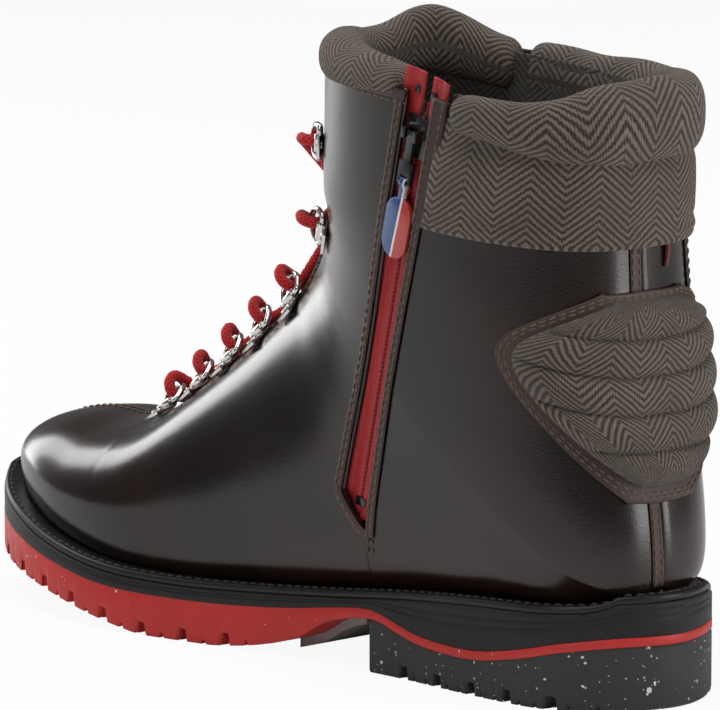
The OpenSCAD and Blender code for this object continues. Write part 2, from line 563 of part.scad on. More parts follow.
module pull_tag() {
    color([0.15, 0.3, 0.6]) zip_frame() difference() {
        union() {
            translate([-1.2, BAIL_Y - TAG_T / 2, PULL_END_Z - 5]) cube([2.4, TAG_T, 5]);
            translate([-1.2, BAIL_Y, PULL_END_Z + 1]) rotate([0, 90, 0]) cylinder(d = pull_pin_d + 1.8, h = 2.4, $fn = 32);
            translate([0, BAIL_Y + TAG_T / 2, PULL_END_Z - 4 - TAG_W / 2]) rotate([90, 0, 0]) linear_extrude(TAG_T) {
                circle(d = TAG_W, $fn = 48);
                translate([-TAG_W / 2, -TAG_L + TAG_W]) square([TAG_W, TAG_L - TAG_W]);
                translate([0, -TAG_L + TAG_W]) circle(d = TAG_W, $fn = 48);
            }
        }
        translate([-4, BAIL_Y, PULL_END_Z + 1]) rotate([0, 90, 0]) cylinder(d = pull_pin_d + 0.2, h = 8, $fn = 32);
    }
}
// Bound leather edges along both sides of the zip
module zip_placket() {
    color(brown_c) for (k = [-1, 1])
        patch(function(u, v) let(s = lerp(9, HEM_S + (k < 0 ? 1.9 : -0.05), u), a = ZIP_HALF * k - 0.3 * k, b = k * (ZIP_HALF + 3.2))
            [s, -lerp(zip_angle(s, k < 0 ? b : a), zip_angle(s, k < 0 ? a : b), v)], 22, 1,
            function(s) 0.9, function(s) 0.15);
}

// ---- Lacing -----------------------------------------------------------------------------

RING_S = [5.05, 5.75, 6.45, 7.25, 8.5, 13.6, 17.6];
PIVOT_INSET = 3.4;
BARREL_R = 1.9;
BARREL_GAP = 0.1;
BARREL_L = 5.6;
PLATE_GAP = 0.5;
CLIP_L = 8.5;
CLIP_W = 7;
CLIP_T = 0.9;
RING_LEG = 3.5;
RING_TILT = 28;
FIRST_LIFT = 0.6;    // the lowest clips stand on the steepest part of the vamp
function pivot_height(k) = PLATE_GAP + BARREL_R + (k == 0 ? FIRST_LIFT : 0);

// Frame of a ring: the pivot, the direction along the edge, towards the throat, and outward
function ring_frame(k, side) = let(s = RING_S[k], a = throat_angle(s, side),
    edge = on_last(s, side * a), near = on_last(s, side * (a - 6)), n = normal_at(s, side * (a - 4)),
    b = unit((edge - near) - ((edge - near) * n) * n), t = cross(b, n),
    p = edge - b * PIVOT_INSET, q = p + n * pivot_height(k)) [q, t, b, n];
module at_ring(f) {
    multmatrix([[f[1][0], f[2][0], f[3][0], f[0][0]], [f[1][1], f[2][1], f[3][1], f[0][1]],
                [f[1][2], f[2][2], f[3][2], f[0][2]], [0, 0, 0, 1]]) children();
}
module ring_wire() {
    rotate([RING_TILT, 0, 0]) {
        translate([-ring_r, 0, 0]) rotate([0, 90, 0]) cylinder(d = wire_d, h = 2 * ring_r, $fn = 32);
        for (x = [-ring_r, ring_r]) translate([x, 0, 0]) {
            sphere(d = wire_d, $fn = 32);
            rotate([-90, 0, 0]) cylinder(d = wire_d, h = RING_LEG, $fn = 32);
        }
        translate([0, RING_LEG, 0]) rotate_extrude(angle = 180, $fn = 48) translate([ring_r, 0]) circle(d = wire_d, $fn = 32);
    }
}
module ring(k, side) { color(steel_c) at_ring(ring_frame(k, side)) ring_wire(); }
module clip() {
    difference() {
        union() {
            translate([-CLIP_W / 2, -CLIP_L, -BARREL_R]) cube([CLIP_W, CLIP_L - 1, CLIP_T]);
            translate([-BARREL_L / 2, -2.5, -BARREL_R]) cube([BARREL_L, 2.5, CLIP_T]);
            translate([-BARREL_L / 2, 0, 0]) rotate([0, 90, 0]) cylinder(r = BARREL_R, h = BARREL_L, $fn = 32);
        }
        translate([-10, 0, 0]) rotate([0, 90, 0]) cylinder(r = wire_d / 2 + BARREL_GAP, h = 20, $fn = 32);
        for (x = [-1, 1]) translate([x * (BARREL_L / 2 + 2) - 2, -BARREL_R - 1, -3]) cube([4, 8, 6]);
        translate([0, -CLIP_L + 3.4, -3]) cylinder(d = RIVET_D, h = 6, $fn = 32);
    }
}
RIVET_D = 2.4;
module rivet() {
    translate([0, -CLIP_L + 3.4, -BARREL_R - PLATE_GAP + 0.1]) {
        cylinder(d = RIVET_D - 0.1, h = PLATE_GAP + CLIP_T, $fn = 32);
        translate([0, 0, PLATE_GAP + CLIP_T - 0.05]) cylinder(d = RIVET_D + 2, h = 0.8, $fn = 32);
    }
}
module ring_clips() { color(steel_c) for (side = [-1, 1], k = [0:6]) at_ring(ring_frame(k, side)) clip(); }
module ring_rivets() { color(steel_c) for (side = [-1, 1], k = [0:6]) at_ring(ring_frame(k, side)) rivet(); }

// The lace turns round the tip of each ring, with room for the ring to rock
TURN_R = 4.2;
OVER = 80;
UNDER = 280;
function ring_tip(k, side) = let(f = ring_frame(k, side), d = ring_r + RING_LEG)
    f[0] + d * (cos(RING_TILT) * f[2] + sin(RING_TILT) * f[3]);
function turn(k, side, from, to) = let(f = ring_frame(k, side), w = ring_tip(k, side))
    [for (i = [0:4]) let(a = lerp(from, to, i / 4)) w + TURN_R * (cos(a) * f[2] + sin(a) * f[3])];
function ridge(s, h) = on_last(s, 180) + h * normal_at(s, 180);
LOW_STRAND = 1.6;
HIGH_STRAND = 5.8;
function going_down(k, side) = concat(turn(k, side, UNDER, OVER),
    [ridge((RING_S[k] + RING_S[k - 1]) / 2, HIGH_STRAND)]);
function going_up(k, side) = concat(turn(k, side, OVER, UNDER), k < 6 ?
    [ridge((RING_S[k] + RING_S[k + 1]) / 2, LOW_STRAND)] : []);
function on_skin(s, a, h) = on_last(s, a) + h * normal_at(s, a);
LACE_H = 2.4;
START = [on_skin(15.5, 104, LACE_H), on_skin(15.9, 118, LACE_H), on_skin(16.2, 134, LACE_H + 1), on_skin(16.45, 150, LACE_H + 4.5),
         ridge(16.8, 9.5), on_skin(17.1, -169, 5)];
END = [on_skin(17.85, 128, LACE_H + 4.2), on_skin(17.9, 114, LACE_H), on_skin(17.85, 102, LACE_H)];
LAST_TURN = let(f = ring_frame(6, 1), w = ring_tip(6, 1))
    [w + TURN_R * (cos(290) * f[2] + sin(290) * f[3]), w + TURN_R * (cos(240) * f[2] + sin(240) * f[3]),
     w + TURN_R * (cos(200) * f[2] + sin(200) * f[3]),
     f[0] + 2.2 * f[2] + 5.6 * f[3], f[0] - 2 * f[2] + 5.2 * f[3]];
LACE = concat(START, going_down(6, -1), going_down(5, 1), going_down(4, -1), going_down(3, 1), going_down(2, -1),
              going_down(1, 1), turn(0, -1, UNDER, OVER), [ridge(RING_S[0], 5)], going_up(0, 1), going_up(1, -1),
              going_up(2, 1), going_up(3, -1), going_up(4, 1), going_up(5, -1), LAST_TURN, END);
// Tube with 8 sides along a list of points; the frame is carried from ring to ring
function tube_frames(path) = let(n = len(path) - 1,
    dir = [for (i = [0:n]) unit(path[min(i + 1, n)] - path[max(i - 1, 0)])])
    [for (i = 0, x = unit(cross(dir[0], [0.3, 0.2, 1])); i <= n;
        x = i < n ? unit(x - (x * dir[i + 1]) * dir[i + 1]) : x, i = i + 1) [path[i], x, cross(dir[i], x)]];
module tube(path, d) {
    m = 8;
    frames = tube_frames(path);
    n = len(path) - 1;
    pts = [for (f = frames, k = [0:m - 1]) f[0] + d / 2 * (cos(360 * k / m) * f[1] + sin(360 * k / m) * f[2])];
    faces = concat([for (i = [0:n - 1], k = [0:m - 1]) each
        let(a = i * m + k, b = i * m + (k + 1) % m) [[a, a + m, b], [b, a + m, b + m]]],
        [[for (k = [0:m - 1]) k]], [[for (k = [m - 1:-1:0]) n * m + k]]);
    polyhedron(pts, faces);
}
module lace() { color(red_c) tube(LACE, lace_d); }
AGLET_L = 14;
module lace_aglets() {
    n = len(LACE) - 1;
    color(steel_c) {
        tube([LACE[0], LACE[0] + AGLET_L * unit(LACE[0] - LACE[1])], lace_d + 0.2);
        tube([LACE[n], LACE[n] + AGLET_L * unit(LACE[n] - LACE[n - 1])], lace_d + 0.2);
    }
}

outsole();
heel_block();
arch_plate();
midsole();
shank();
welt();
insole_board();
footbed();
toe_puff();
heel_counter();
vamp_medial();
quarter_medial();
quarter_lateral();
shaft_lateral();
back_lateral();
zip_base();
lining_front();
lining_rear();
ankle_foam();
tongue();
throat_binding();
heel_pad_trim();
heel_pad();
collar_cuff();
collar_roll();
tongue_roll();
cuff_strip();
rear_tag();
zip_placket();
zip_tape_front();
zip_tape_rear();
zip_chain();
zip_stops();
zip_slider();
zip_pull();
pull_tag();
ring_clips();
ring_rivets();
lace();
lace_aglets();
ring(0, -1);  // ring_m1
ring(1, -1);  // ring_m2
ring(2, -1);  // ring_m3
ring(3, -1);  // ring_m4
ring(4, -1);  // ring_m5
ring(5, -1);  // ring_m6
ring(6, -1);  // ring_m7
ring(0, 1);  // ring_l1
ring(1, 1);  // ring_l2
ring(2, 1);  // ring_l3
ring(3, 1);  // ring_l4
ring(4, 1);  // ring_l5
ring(5, 1);  // ring_l6
ring(6, 1);  // ring_l7
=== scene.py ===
"""A leather hiking boot with a side zip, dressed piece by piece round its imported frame.

Lengths are in millimetres until a mesh is made, and metres from there on. The boot stands on
Z = 0 with its toe towards -X, its inner side with the zip towards -Y.
"""

from __future__ import annotations

import json
import logging
import math
from dataclasses import dataclass, field
from enum import Enum
from typing import Callable, Sequence

import bmesh
import bpy
import numpy as np
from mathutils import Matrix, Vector

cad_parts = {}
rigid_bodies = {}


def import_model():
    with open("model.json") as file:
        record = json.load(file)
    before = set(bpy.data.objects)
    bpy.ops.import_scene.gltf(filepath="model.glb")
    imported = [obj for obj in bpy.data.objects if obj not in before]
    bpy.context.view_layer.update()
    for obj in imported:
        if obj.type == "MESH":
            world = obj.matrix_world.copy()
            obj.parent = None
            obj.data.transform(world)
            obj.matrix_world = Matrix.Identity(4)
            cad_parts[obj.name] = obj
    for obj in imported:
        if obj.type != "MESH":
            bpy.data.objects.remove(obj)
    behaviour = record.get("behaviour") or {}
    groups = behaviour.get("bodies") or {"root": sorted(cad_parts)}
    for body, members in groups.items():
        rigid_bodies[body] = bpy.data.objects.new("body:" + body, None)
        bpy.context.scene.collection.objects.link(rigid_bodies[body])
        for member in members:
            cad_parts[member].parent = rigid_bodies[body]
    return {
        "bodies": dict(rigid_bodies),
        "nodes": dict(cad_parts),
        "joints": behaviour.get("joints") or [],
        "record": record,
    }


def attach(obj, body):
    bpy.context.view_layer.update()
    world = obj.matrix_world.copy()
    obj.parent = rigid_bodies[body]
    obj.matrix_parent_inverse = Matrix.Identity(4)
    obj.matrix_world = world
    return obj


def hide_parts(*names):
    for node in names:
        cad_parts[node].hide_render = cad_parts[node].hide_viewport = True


LOG = logging.getLogger("boot")
MM = 0.001
TAU = 2 * math.pi
Array = np.ndarray
Colour = tuple[float, float, float]

# ---- The last ---------------------------------------------------------------------------

TOP_S = 19.0
HEEL_S = 13
HEM_S = 17.0
THROAT_S = 4.7
LEATHER_T = 1.8
LAYER_GAP = 0.8
PADDING_T = 4.4
LINING_T = 1.2
SHIFT_Y = -0.75

# One row for each section, from the toe tip over the ridge to the top edge: back end x z,
# front end x z, middle y, featherline y inner outer, widest y inner outer, share of the
# section behind its widest place, roundness of its back and front
LAST_ROWS = np.array([
    [-143.5, 43, -143.5, 43, 0, 0, 0, -0.1, 0.1, .38, 2.2, 2.2],
    [-141.5, 40.5, -141, 52, 0, -13, 13, -15, 15, .40, 2.2, 2.2],
    [-134, 37.6, -133, 58.5, 0, -25, 24, -28, 27, .40, 2.2, 2.2],
    [-118, 33, -116, 61.5, 0, -36, 33, -38.5, 36, .38, 2.3, 2.2],
    [-95, 26.6, -96, 61.5, 0, -43, 41, -45.5, 44, .36, 2.3, 2.1],
    [-66, 22, -74, 67, 0, -45.5, 46, -48, 49, .35, 2.3, 2],
    [-36, 20.6, -52, 82, 0, -41, 47, -45, 49.5, .34, 2.3, 2],
    [-6, 21.6, -32, 97, 0, -35, 43.5, -42, 47, .34, 2.3, 2],
    [28, 24.2, -18, 109.5, 0, -30.5, 38, -40.5, 43, .35, 2.3, 2],
    [62, 28, -10, 117.5, -1, -29.5, 33, -40, 41, .38, 2.4, 2],
    [95, 31, -5, 124, -2, -31, 31.5, -40.8, 39.5, .42, 2.5, 2],
    [122, 32.4, -1.5, 129, -3, -29.5, 27, -42, 39, .45, 2.6, 2],
    [137, 33.4, .5, 133.5, -3, -18, 13, -42.8, 39, .47, 2.7, 2],
    [143, 36, 2, 137, -3, -3, -3, -43.2, 39, .48, 2.7, 2],
    [143, 52, 3, 140.5, -3, -3, -3, -43.3, 39, .48, 2.7, 2],
    [139, 80, 4, 144, -3, -3, -3, -43.3, 39, .48, 2.7, 2],
    [134.5, 112, 4.5, 148, -3, -3, -3, -43.4, 40, .48, 2.7, 2.1],
    [132.5, 143, 5, 153, -3, -3, -3, -43.8, 41, .5, 2.6, 2.2],
    [132.5, 163, 6, 173, -3, -3, -3, -44.6, 42, .5, 2.5, 2.2],
    [133, 182, 7, 194, -3, -3, -3, -45.5, 43, .5, 2.5, 2.2]])
LAST_ROWS[:, 4:9] += SHIFT_Y


def unit(v: Array) -> Array:
    """Vectors of length one along the last axis."""
    return v / np.maximum(np.linalg.norm(v, axis=-1, keepdims=True), 1e-9)


def lerp(a: Array | float, b: Array | float, t: Array | float) -> Array | float:
    """The value a share t of the way from a to b."""
    return a + (b - a) * t


def ease(t: Array | float) -> Array:
    """A smooth step from 0 to 1."""
    u = np.clip(t, 0, 1)
    return u * u * (3 - 2 * u)


def spline(a: Array, b: Array, c: Array, d: Array, u: Array) -> Array:
    """Catmull-Rom curve from b to c, with a before them and d after."""
    return 0.5 * (2 * b + (c - a) * u + (2 * a - 5 * b + 4 * c - d) * u * u
                  + (3 * b - a - 3 * c + d) * u ** 3)


class Last:
    """The foot form that every layer of the upper lies on, as a surface of two parameters.

    s runs from section to section and angle, in degrees, round each of them: 0 on the back
    line, 180 on the ridge, negative on the inner side.
    """

    def __init__(self) -> None:
        """Continues the round toe tip as a mirror image."""
        self.rows = LAST_ROWS
        self.tip = 2 * self.rows[0] - self.rows[1]
        self.tip[[0, 2]] = self.rows[1][[0, 2]]

    def row(self, s: Array | float) -> Array:
        """Row of numbers at any place between the sections."""
        s = np.clip(np.asarray(s, float), 0, TOP_S)
        i = np.clip(np.floor(s).astype(int), 0, int(TOP_S) - 1)
        u = (s - i)[..., None]
        b, c = self.rows[i], self.rows[i + 1]
        a = np.where((i > 0)[..., None], self.rows[np.maximum(i - 1, 0)], self.tip)
        d = np.where((i < TOP_S - 1)[..., None], self.rows[np.minimum(i + 2, int(TOP_S))], 2 * c - b)
        return spline(a, b, c, d, u)

    @staticmethod
    def _reach(r: Array, side: Array) -> Array:
        """Half width of a section on one side."""
        return np.where(side < 0, r[..., 4] - r[..., 7], r[..., 8] - r[..., 4])

    def start_angle(self, s: Array | float, side: Array | float) -> Array:
        """Angle at which a section leaves the featherline, in degrees."""
        r, side = self.row(s), np.asarray(side)
        foot = np.where(side < 0, r[..., 4] - r[..., 5], r[..., 6] - r[..., 4])
        q = np.clip(foot / self._reach(r, side), 0, 0.985)
        return np.degrees(np.arcsin(q ** (r[..., 10] / 2)))

    def point(self, s: Array | float, angle: Array | float) -> Array:
        """Place on the surface: a superellipse in plan, carried along the section's chord."""
        s, angle = np.broadcast_arrays(np.asarray(s, float), np.asarray(angle, float))
        r = self.row(s)
        t = (angle + 180) % 360 - 180
        side = np.where(t < 0, -1, 1)
        a = np.radians(np.abs(t))
        back = np.abs(t) < 90
        p = np.where(back, r[..., 10], r[..., 11])
        c = np.abs(np.cos(a)) ** (2 / p)
        c0 = np.cos(np.radians(self.start_angle(s, side))) ** (2 / r[..., 10])
        mid = r[..., 9]
        e = np.where(back, mid * (1 - c / c0), mid + (1 - mid) * c)
        y = r[..., 4] + side * self._reach(r, side) * np.maximum(np.sin(a), 0) ** (2 / p)
        return np.stack([lerp(r[..., 0], r[..., 2], e), y, lerp(r[..., 1], r[..., 3], e)], -1)

    def normal(self, s: Array | float, angle: Array | float) -> Array:
        """Outward direction: the cross product of the steps round and along the surface."""
        s, angle = np.broadcast_arrays(np.asarray(s, float), np.asarray(angle, float))
        along = self.point(np.minimum(s + 0.04, TOP_S), angle) - self.point(np.maximum(s - 0.04, 0.02), angle)
        across = self.point(s, angle + 1.5) - self.point(s, angle - 1.5)
        return unit(np.cross(across, along))

    def skin(self, s: Array | float, angle: Array | float, lift: Array | float = 0.0) -> Array:
        """Place at a height over the surface."""
        return self.point(s, angle) + self.normal(s, angle) * np.asarray(lift, float)[..., None]

    def angle_on_line(self, s: Array | float, side: int, p: Sequence[float], q: Sequence[float]) -> Array:
        """Angle at which a section crosses the side-view line from p to q."""
        s = np.asarray(s, float)
        r = self.row(s)
        d = np.array([q[0] - p[0], q[1] - p[1]])
        bx, bz = p[0] - r[..., 0], p[1] - r[..., 1]
        fx, fz = r[..., 2] - r[..., 0], r[..., 3] - r[..., 1]
        e = np.clip((bx * d[1] - bz * d[0]) / (fx * d[1] - fz * d[0]), 0, 0.999)
        mid = r[..., 9]
        c0 = np.cos(np.radians(self.start_angle(s, side))) ** (2 / r[..., 10])
        low = np.degrees(np.arccos(np.clip((np.maximum(1 - e / mid, 0) * c0) ** (r[..., 10] / 2), 0, 1)))
        rise = np.maximum((e - mid) / (1 - mid), 0) ** (r[..., 11] / 2)
        high = 180 - np.degrees(np.arccos(np.clip(rise, 0, 1)))
        return np.where(e < mid, low, high)

    def zip_angle(self, s: Array | float, shift: float) -> Array:
        """Angle of the zip's line on the inner side, or of a line beside it."""
        line = self.angle_on_line(s, -1, (40 + shift, 43), (80 + shift, 192))
        return np.maximum(self.start_angle(s, -1), line)

    def heel_seam_angle(self, s: Array | float) -> Array:
        """Angle of the curved seam beside the heel on the outer side."""
        s, feather = np.asarray(s, float), self.start_angle(s, 1)
        low = self.angle_on_line(s, 1, (112, 30), (126, 76))
        high = self.angle_on_line(s, 1, (126, 76), (126, 190))
        return np.where(s < 9, feather, np.maximum(np.maximum(low, high), feather))

    def cuff_front_angle(self, s: Array | float) -> Array:
        """Angle at which the cuff ends on the outer side."""
        return self.angle_on_line(s, 1, (74, 140), (86, 190))

    def throat_angle(self, s: Array | float, side: int) -> Array:
        """Angle of the throat's edge, or the ridge below the throat."""
        s = np.asarray(s, float)
        r = self.row(s)
        half = lerp(12.0, 20.0, ease((s - THROAT_S) / (TOP_S - THROAT_S))) - r[..., 4] * side
        share = np.clip(half / self._reach(r, np.asarray(side)), 0, 0.9)
        a = 180 - np.degrees(np.arcsin(share ** (r[..., 11] / 2)))
        return np.where(s < THROAT_S, 179.8, a)

    @staticmethod
    def middle_depth(s: Array | float) -> Array:
        """Depth of the padding's inner face."""
        return LEATHER_T + LAYER_GAP + lerp(1.0, PADDING_T, ease((np.asarray(s) - 4.5) / 3))


LAST = Last()


# ---- Meshes -----------------------------------------------------------------------------

@dataclass
class Form:
    """Points of a mesh in millimetres, its faces and where each point lies on the material."""

    points: Array
    faces: list[Array]
    uv: Array | None = None

    @staticmethod
    def joined(forms: Sequence["Form"]) -> "Form":
        """Several forms as one."""
        faces, start = [], 0
        for f in forms:
            faces += [q + start for q in f.faces]
            start += len(f.points)
        uv = None
        if all(f.uv is not None for f in forms):
            uv = np.concatenate([f.uv for f in forms])
        return Form(np.concatenate([f.points for f in forms]), faces, uv)


def grid_faces(n: int, m: int, wrap_n: bool = False, wrap_m: bool = False) -> Array:
    """Quads of a grid of n by m points, closed on itself where asked."""
    i = np.arange(n if wrap_n else n - 1)[:, None]
    j = np.arange(m if wrap_m else m - 1)[None, :]
    a, b = i * m + j, i * m + (j + 1) % m
    c, d = ((i + 1) % n) * m + (j + 1) % m, ((i + 1) % n) * m + j
    return np.stack([a, b, c, d], -1).reshape(-1, 4)


def lengths(points: Array) -> Array:
    """Distance along a line of points from its first."""
    steps = np.linalg.norm(np.diff(points, axis=0), axis=1)
    return np.concatenate([[0.0], np.cumsum(steps)])


def grid_uv(grid: Array) -> Array:
    """Distances in millimetres across and along a grid, measured on its middle lines."""
    n, m = grid.shape[:2]
    u, v = lengths(grid[n // 2]), lengths(grid[:, m // 2])
    return np.stack(np.broadcast_arrays(u[None, :] - u[m // 2], v[:, None]), -1)


def shell(outer: Array, inner: Array, uv: Array | None = None, rounding: float = 0.9) -> Form:
    """Closed sheet between two grids, with its four edges rounded.

    Each edge gets three rings of points on a half circle: the outer and inner point's middle,
    plus half their distance times the cosine, plus the way off the sheet times the sine.

    Args:
        outer: n by m points of the outer face.
        inner: the same of the inner face.
        uv: place of each point on the material, or None for distances.
        rounding: how far the edge stands out, as a share of half the thickness.

    Returns:
        The form.
    """
    n, m = outer.shape[:2]
    uv = grid_uv(outer) if uv is None else uv
    rim = np.concatenate([np.stack([np.arange(n), np.zeros(n, int)], 1),
                          np.stack([np.full(m - 1, n - 1), np.arange(1, m)], 1),
                          np.stack([np.arange(n - 2, -1, -1), np.full(n - 1, m - 1)], 1),
                          np.stack([np.zeros(m - 2, int), np.arange(m - 2, 0, -1)], 1)])
    i, j = rim.T
    gi = np.zeros((len(rim), 3))
    first, last, left, right = i == 0, i == n - 1, j == 0, j == m - 1
    gi[first] += unit(outer[0] - outer[1])[j[first]]
    gi[last] += unit(outer[-1] - outer[-2])[j[last]]
    gi[left] += unit(outer[:, 0] - outer[:, 1])[i[left]]
    gi[right] += unit(outer[:, -1] - outer[:, -2])[i[right]]
    off = unit(gi)
    top, low = outer[i, j], inner[i, j]
    mid, half = (top + low) / 2, (top - low) / 2
    size = np.linalg.norm(half, axis=1, keepdims=True) * rounding
    turns = (math.pi / 4, math.pi / 2, 3 * math.pi / 4)
    rings = [mid + half * math.cos(a) + off * size * math.sin(a) for a in turns]
    points = np.concatenate([outer.reshape(-1, 3), inner.reshape(-1, 3)] + rings)
    k, base = n * m, 2 * n * m
    rows = [i * m + j] + [base + t * len(rim) + np.arange(len(rim)) for t in range(3)] + [k + i * m + j]
    faces = [grid_faces(n, m), grid_faces(n, m)[:, ::-1] + k]
    for a, b in zip(rows[:-1], rows[1:]):
        faces.append(np.stack([a, b, np.roll(b, -1), np.roll(a, -1)], 1))
    rim_uv = uv[i, j]
    flat = uv.reshape(-1, 2)
    return Form(points, faces, np.concatenate([flat, flat, rim_uv, rim_uv, rim_uv]))


def tube(rings: Array, uv: Array | None = None, closed: bool = False) -> Form:
    """Solid through a row of closed rings; its ends are shut with a point in their middle.

    Args:
        rings: n by m points.
        uv: place of each point on the material, or None for distances.
        closed: whether the last ring joins the first.

    Returns:
        The form.
    """
    n, m = rings.shape[:2]
    if uv is None:
        along = lengths(rings.mean(1))
        round_ = lengths(np.concatenate([rings[n // 2], rings[n // 2][:1]]))[:m]
        uv = np.stack(np.broadcast_arrays(along[:, None], round_[None, :]), -1)
    points, flat = rings.reshape(-1, 3), uv.reshape(-1, 2)
    faces = [grid_faces(n, m, closed, True)]
    if not closed:
        points = np.concatenate([points, rings[:1].mean(1), rings[-1:].mean(1)])
        flat = np.concatenate([flat, uv[0].mean(0)[None], uv[-1].mean(0)[None]])
        j = np.arange(m)
        k = (j + 1) % m
        faces.append(np.stack([k, j, np.full(m, n * m)], 1))
        faces.append(np.stack([(n - 1) * m + j, (n - 1) * m + k, np.full(m, n * m + 1)], 1))
    return Form(points, faces, flat)


@dataclass
class SkinPath:
    """A line drawn on the last, with its own directions."""

    s: Array
    angle: Array
    closed: bool = False

    def resampled(self, step: float) -> "SkinPath":
        """The same line with its points a set distance apart."""
        at = lengths(LAST.point(self.s, self.angle))
        t = np.linspace(0, at[-1], max(int(at[-1] / step), 4) + 1)
        if self.closed:
            t = t[:-1]
        return SkinPath(np.interp(t, at, self.s), np.interp(t, at, self.angle), self.closed)

    def frame(self, side: Array | float = 0.0,
              lift: Array | float = 0.0) -> tuple[Array, Array, Array, Array]:
        """Points of the line, moved sideways and outward, and its three directions.

        Args:
            side: distance to the left of the line, seen from outside.
            lift: distance outward.

        Returns:
            Points, directions along the line, sideways and outward.
        """
        p, out = LAST.point(self.s, self.angle), LAST.normal(self.s, self.angle)
        if self.closed:
            along = unit(np.roll(p, -1, 0) - np.roll(p, 1, 0))
        else:
            along = unit(np.gradient(p, axis=0))
        left = unit(np.cross(out, along))
        return p + left * np.asarray(side)[..., None] + out * np.asarray(lift)[..., None], along, left, out


def ribbon(path: SkinPath, width: float, thick: float, lift: float = 0.0, side: float = 0.0) -> Form:
    """Strip of leather along a line on the last: a rounded flat section swept along it."""
    line = path.resampled(1.2)
    p, _, left, out = line.frame(side, lift)
    a = np.linspace(0, TAU, 14, endpoint=False)
    x = np.sign(np.cos(a)) * np.abs(np.cos(a)) ** 0.55 * width / 2
    y = (np.sign(np.sin(a)) * np.abs(np.sin(a)) ** 0.7 * 0.5 + 0.5) * thick
    rings = p[:, None] + left[:, None] * x[None, :, None] + out[:, None] * y[None, :, None]
    return tube(rings[:, ::-1], closed=path.closed)


def stitches(path: SkinPath, side: float, lift: float, length: float = 2.3, gap: float = 0.9,
             thick: float = 0.62) -> Form:
    """Row of thread stitches beside a line on the last.

    Each stitch is five rings of six points: a thread that comes up, lies and dives.
    """
    line = path.resampled(0.8)
    p, along, left, out = line.frame(side, lift)
    return thread_row(p, along, left, out, length, gap, thick)


def thread_row(p: Array, along: Array, left: Array, out: Array,
               length: float, gap: float, thick: float) -> Form:
    """Stitches along any line of points with its directions."""
    at = lengths(p)
    t = np.arange(length / 2, at[-1] - length / 2, length + gap)

    def take(v: Array) -> Array:
        """Values at the middles of the stitches."""
        return np.stack([np.interp(t, at, v[:, k]) for k in range(3)], 1)

    c, x, y, z = take(p), unit(take(along)), unit(take(left)), unit(take(out))
    place = np.array([-0.5, -0.4, 0.0, 0.4, 0.5]) * length
    size = np.array([0.4, 0.9, 1.0, 0.9, 0.4]) * thick / 2
    rise = np.array([-0.5, 0.05, 0.3, 0.05, -0.5]) * thick
    a = np.linspace(0, TAU, 6, endpoint=False)
    px = np.repeat(place, 6)
    py = (size[:, None] * np.cos(a)).ravel()
    pz = (rise[:, None] + size[:, None] * np.sin(a)).ravel()
    points = (c[:, None] + x[:, None] * px[None, :, None] + y[:, None] * py[None, :, None]
              + z[:, None] * pz[None, :, None])
    start = (np.arange(len(t)) * 30)[:, None, None]
    quads = (grid_faces(5, 6, False, True)[None] + start).reshape(-1, 4)
    caps = [((np.arange(6)[::-1])[None] + start[:, :, 0]), (np.arange(24, 30)[None] + start[:, :, 0])]
    uv = np.stack([np.tile(px, len(t)), np.tile(np.repeat(a[None], 5, 0).ravel(), len(t))], 1)
    return Form(points.reshape(-1, 3), [quads] + caps, uv)


def panel(s: Array, lo: Array, hi: Array, m: int, outer: Array | float, inner: Array | float,
          uv: Array | None = None) -> Form:
    """Sheet over sections s between two lines of angles, at two heights over the last."""
    v = np.linspace(0, 1, m)
    angle = lerp(lo[:, None], hi[:, None], v[None, :])
    ss = np.broadcast_to(s[:, None], angle.shape)
    return shell(LAST.skin(ss, angle, np.broadcast_to(outer, angle.shape)),
                 LAST.skin(ss, angle, np.broadcast_to(inner, angle.shape)), uv)


# ---- Finishes ---------------------------------------------------------------------------

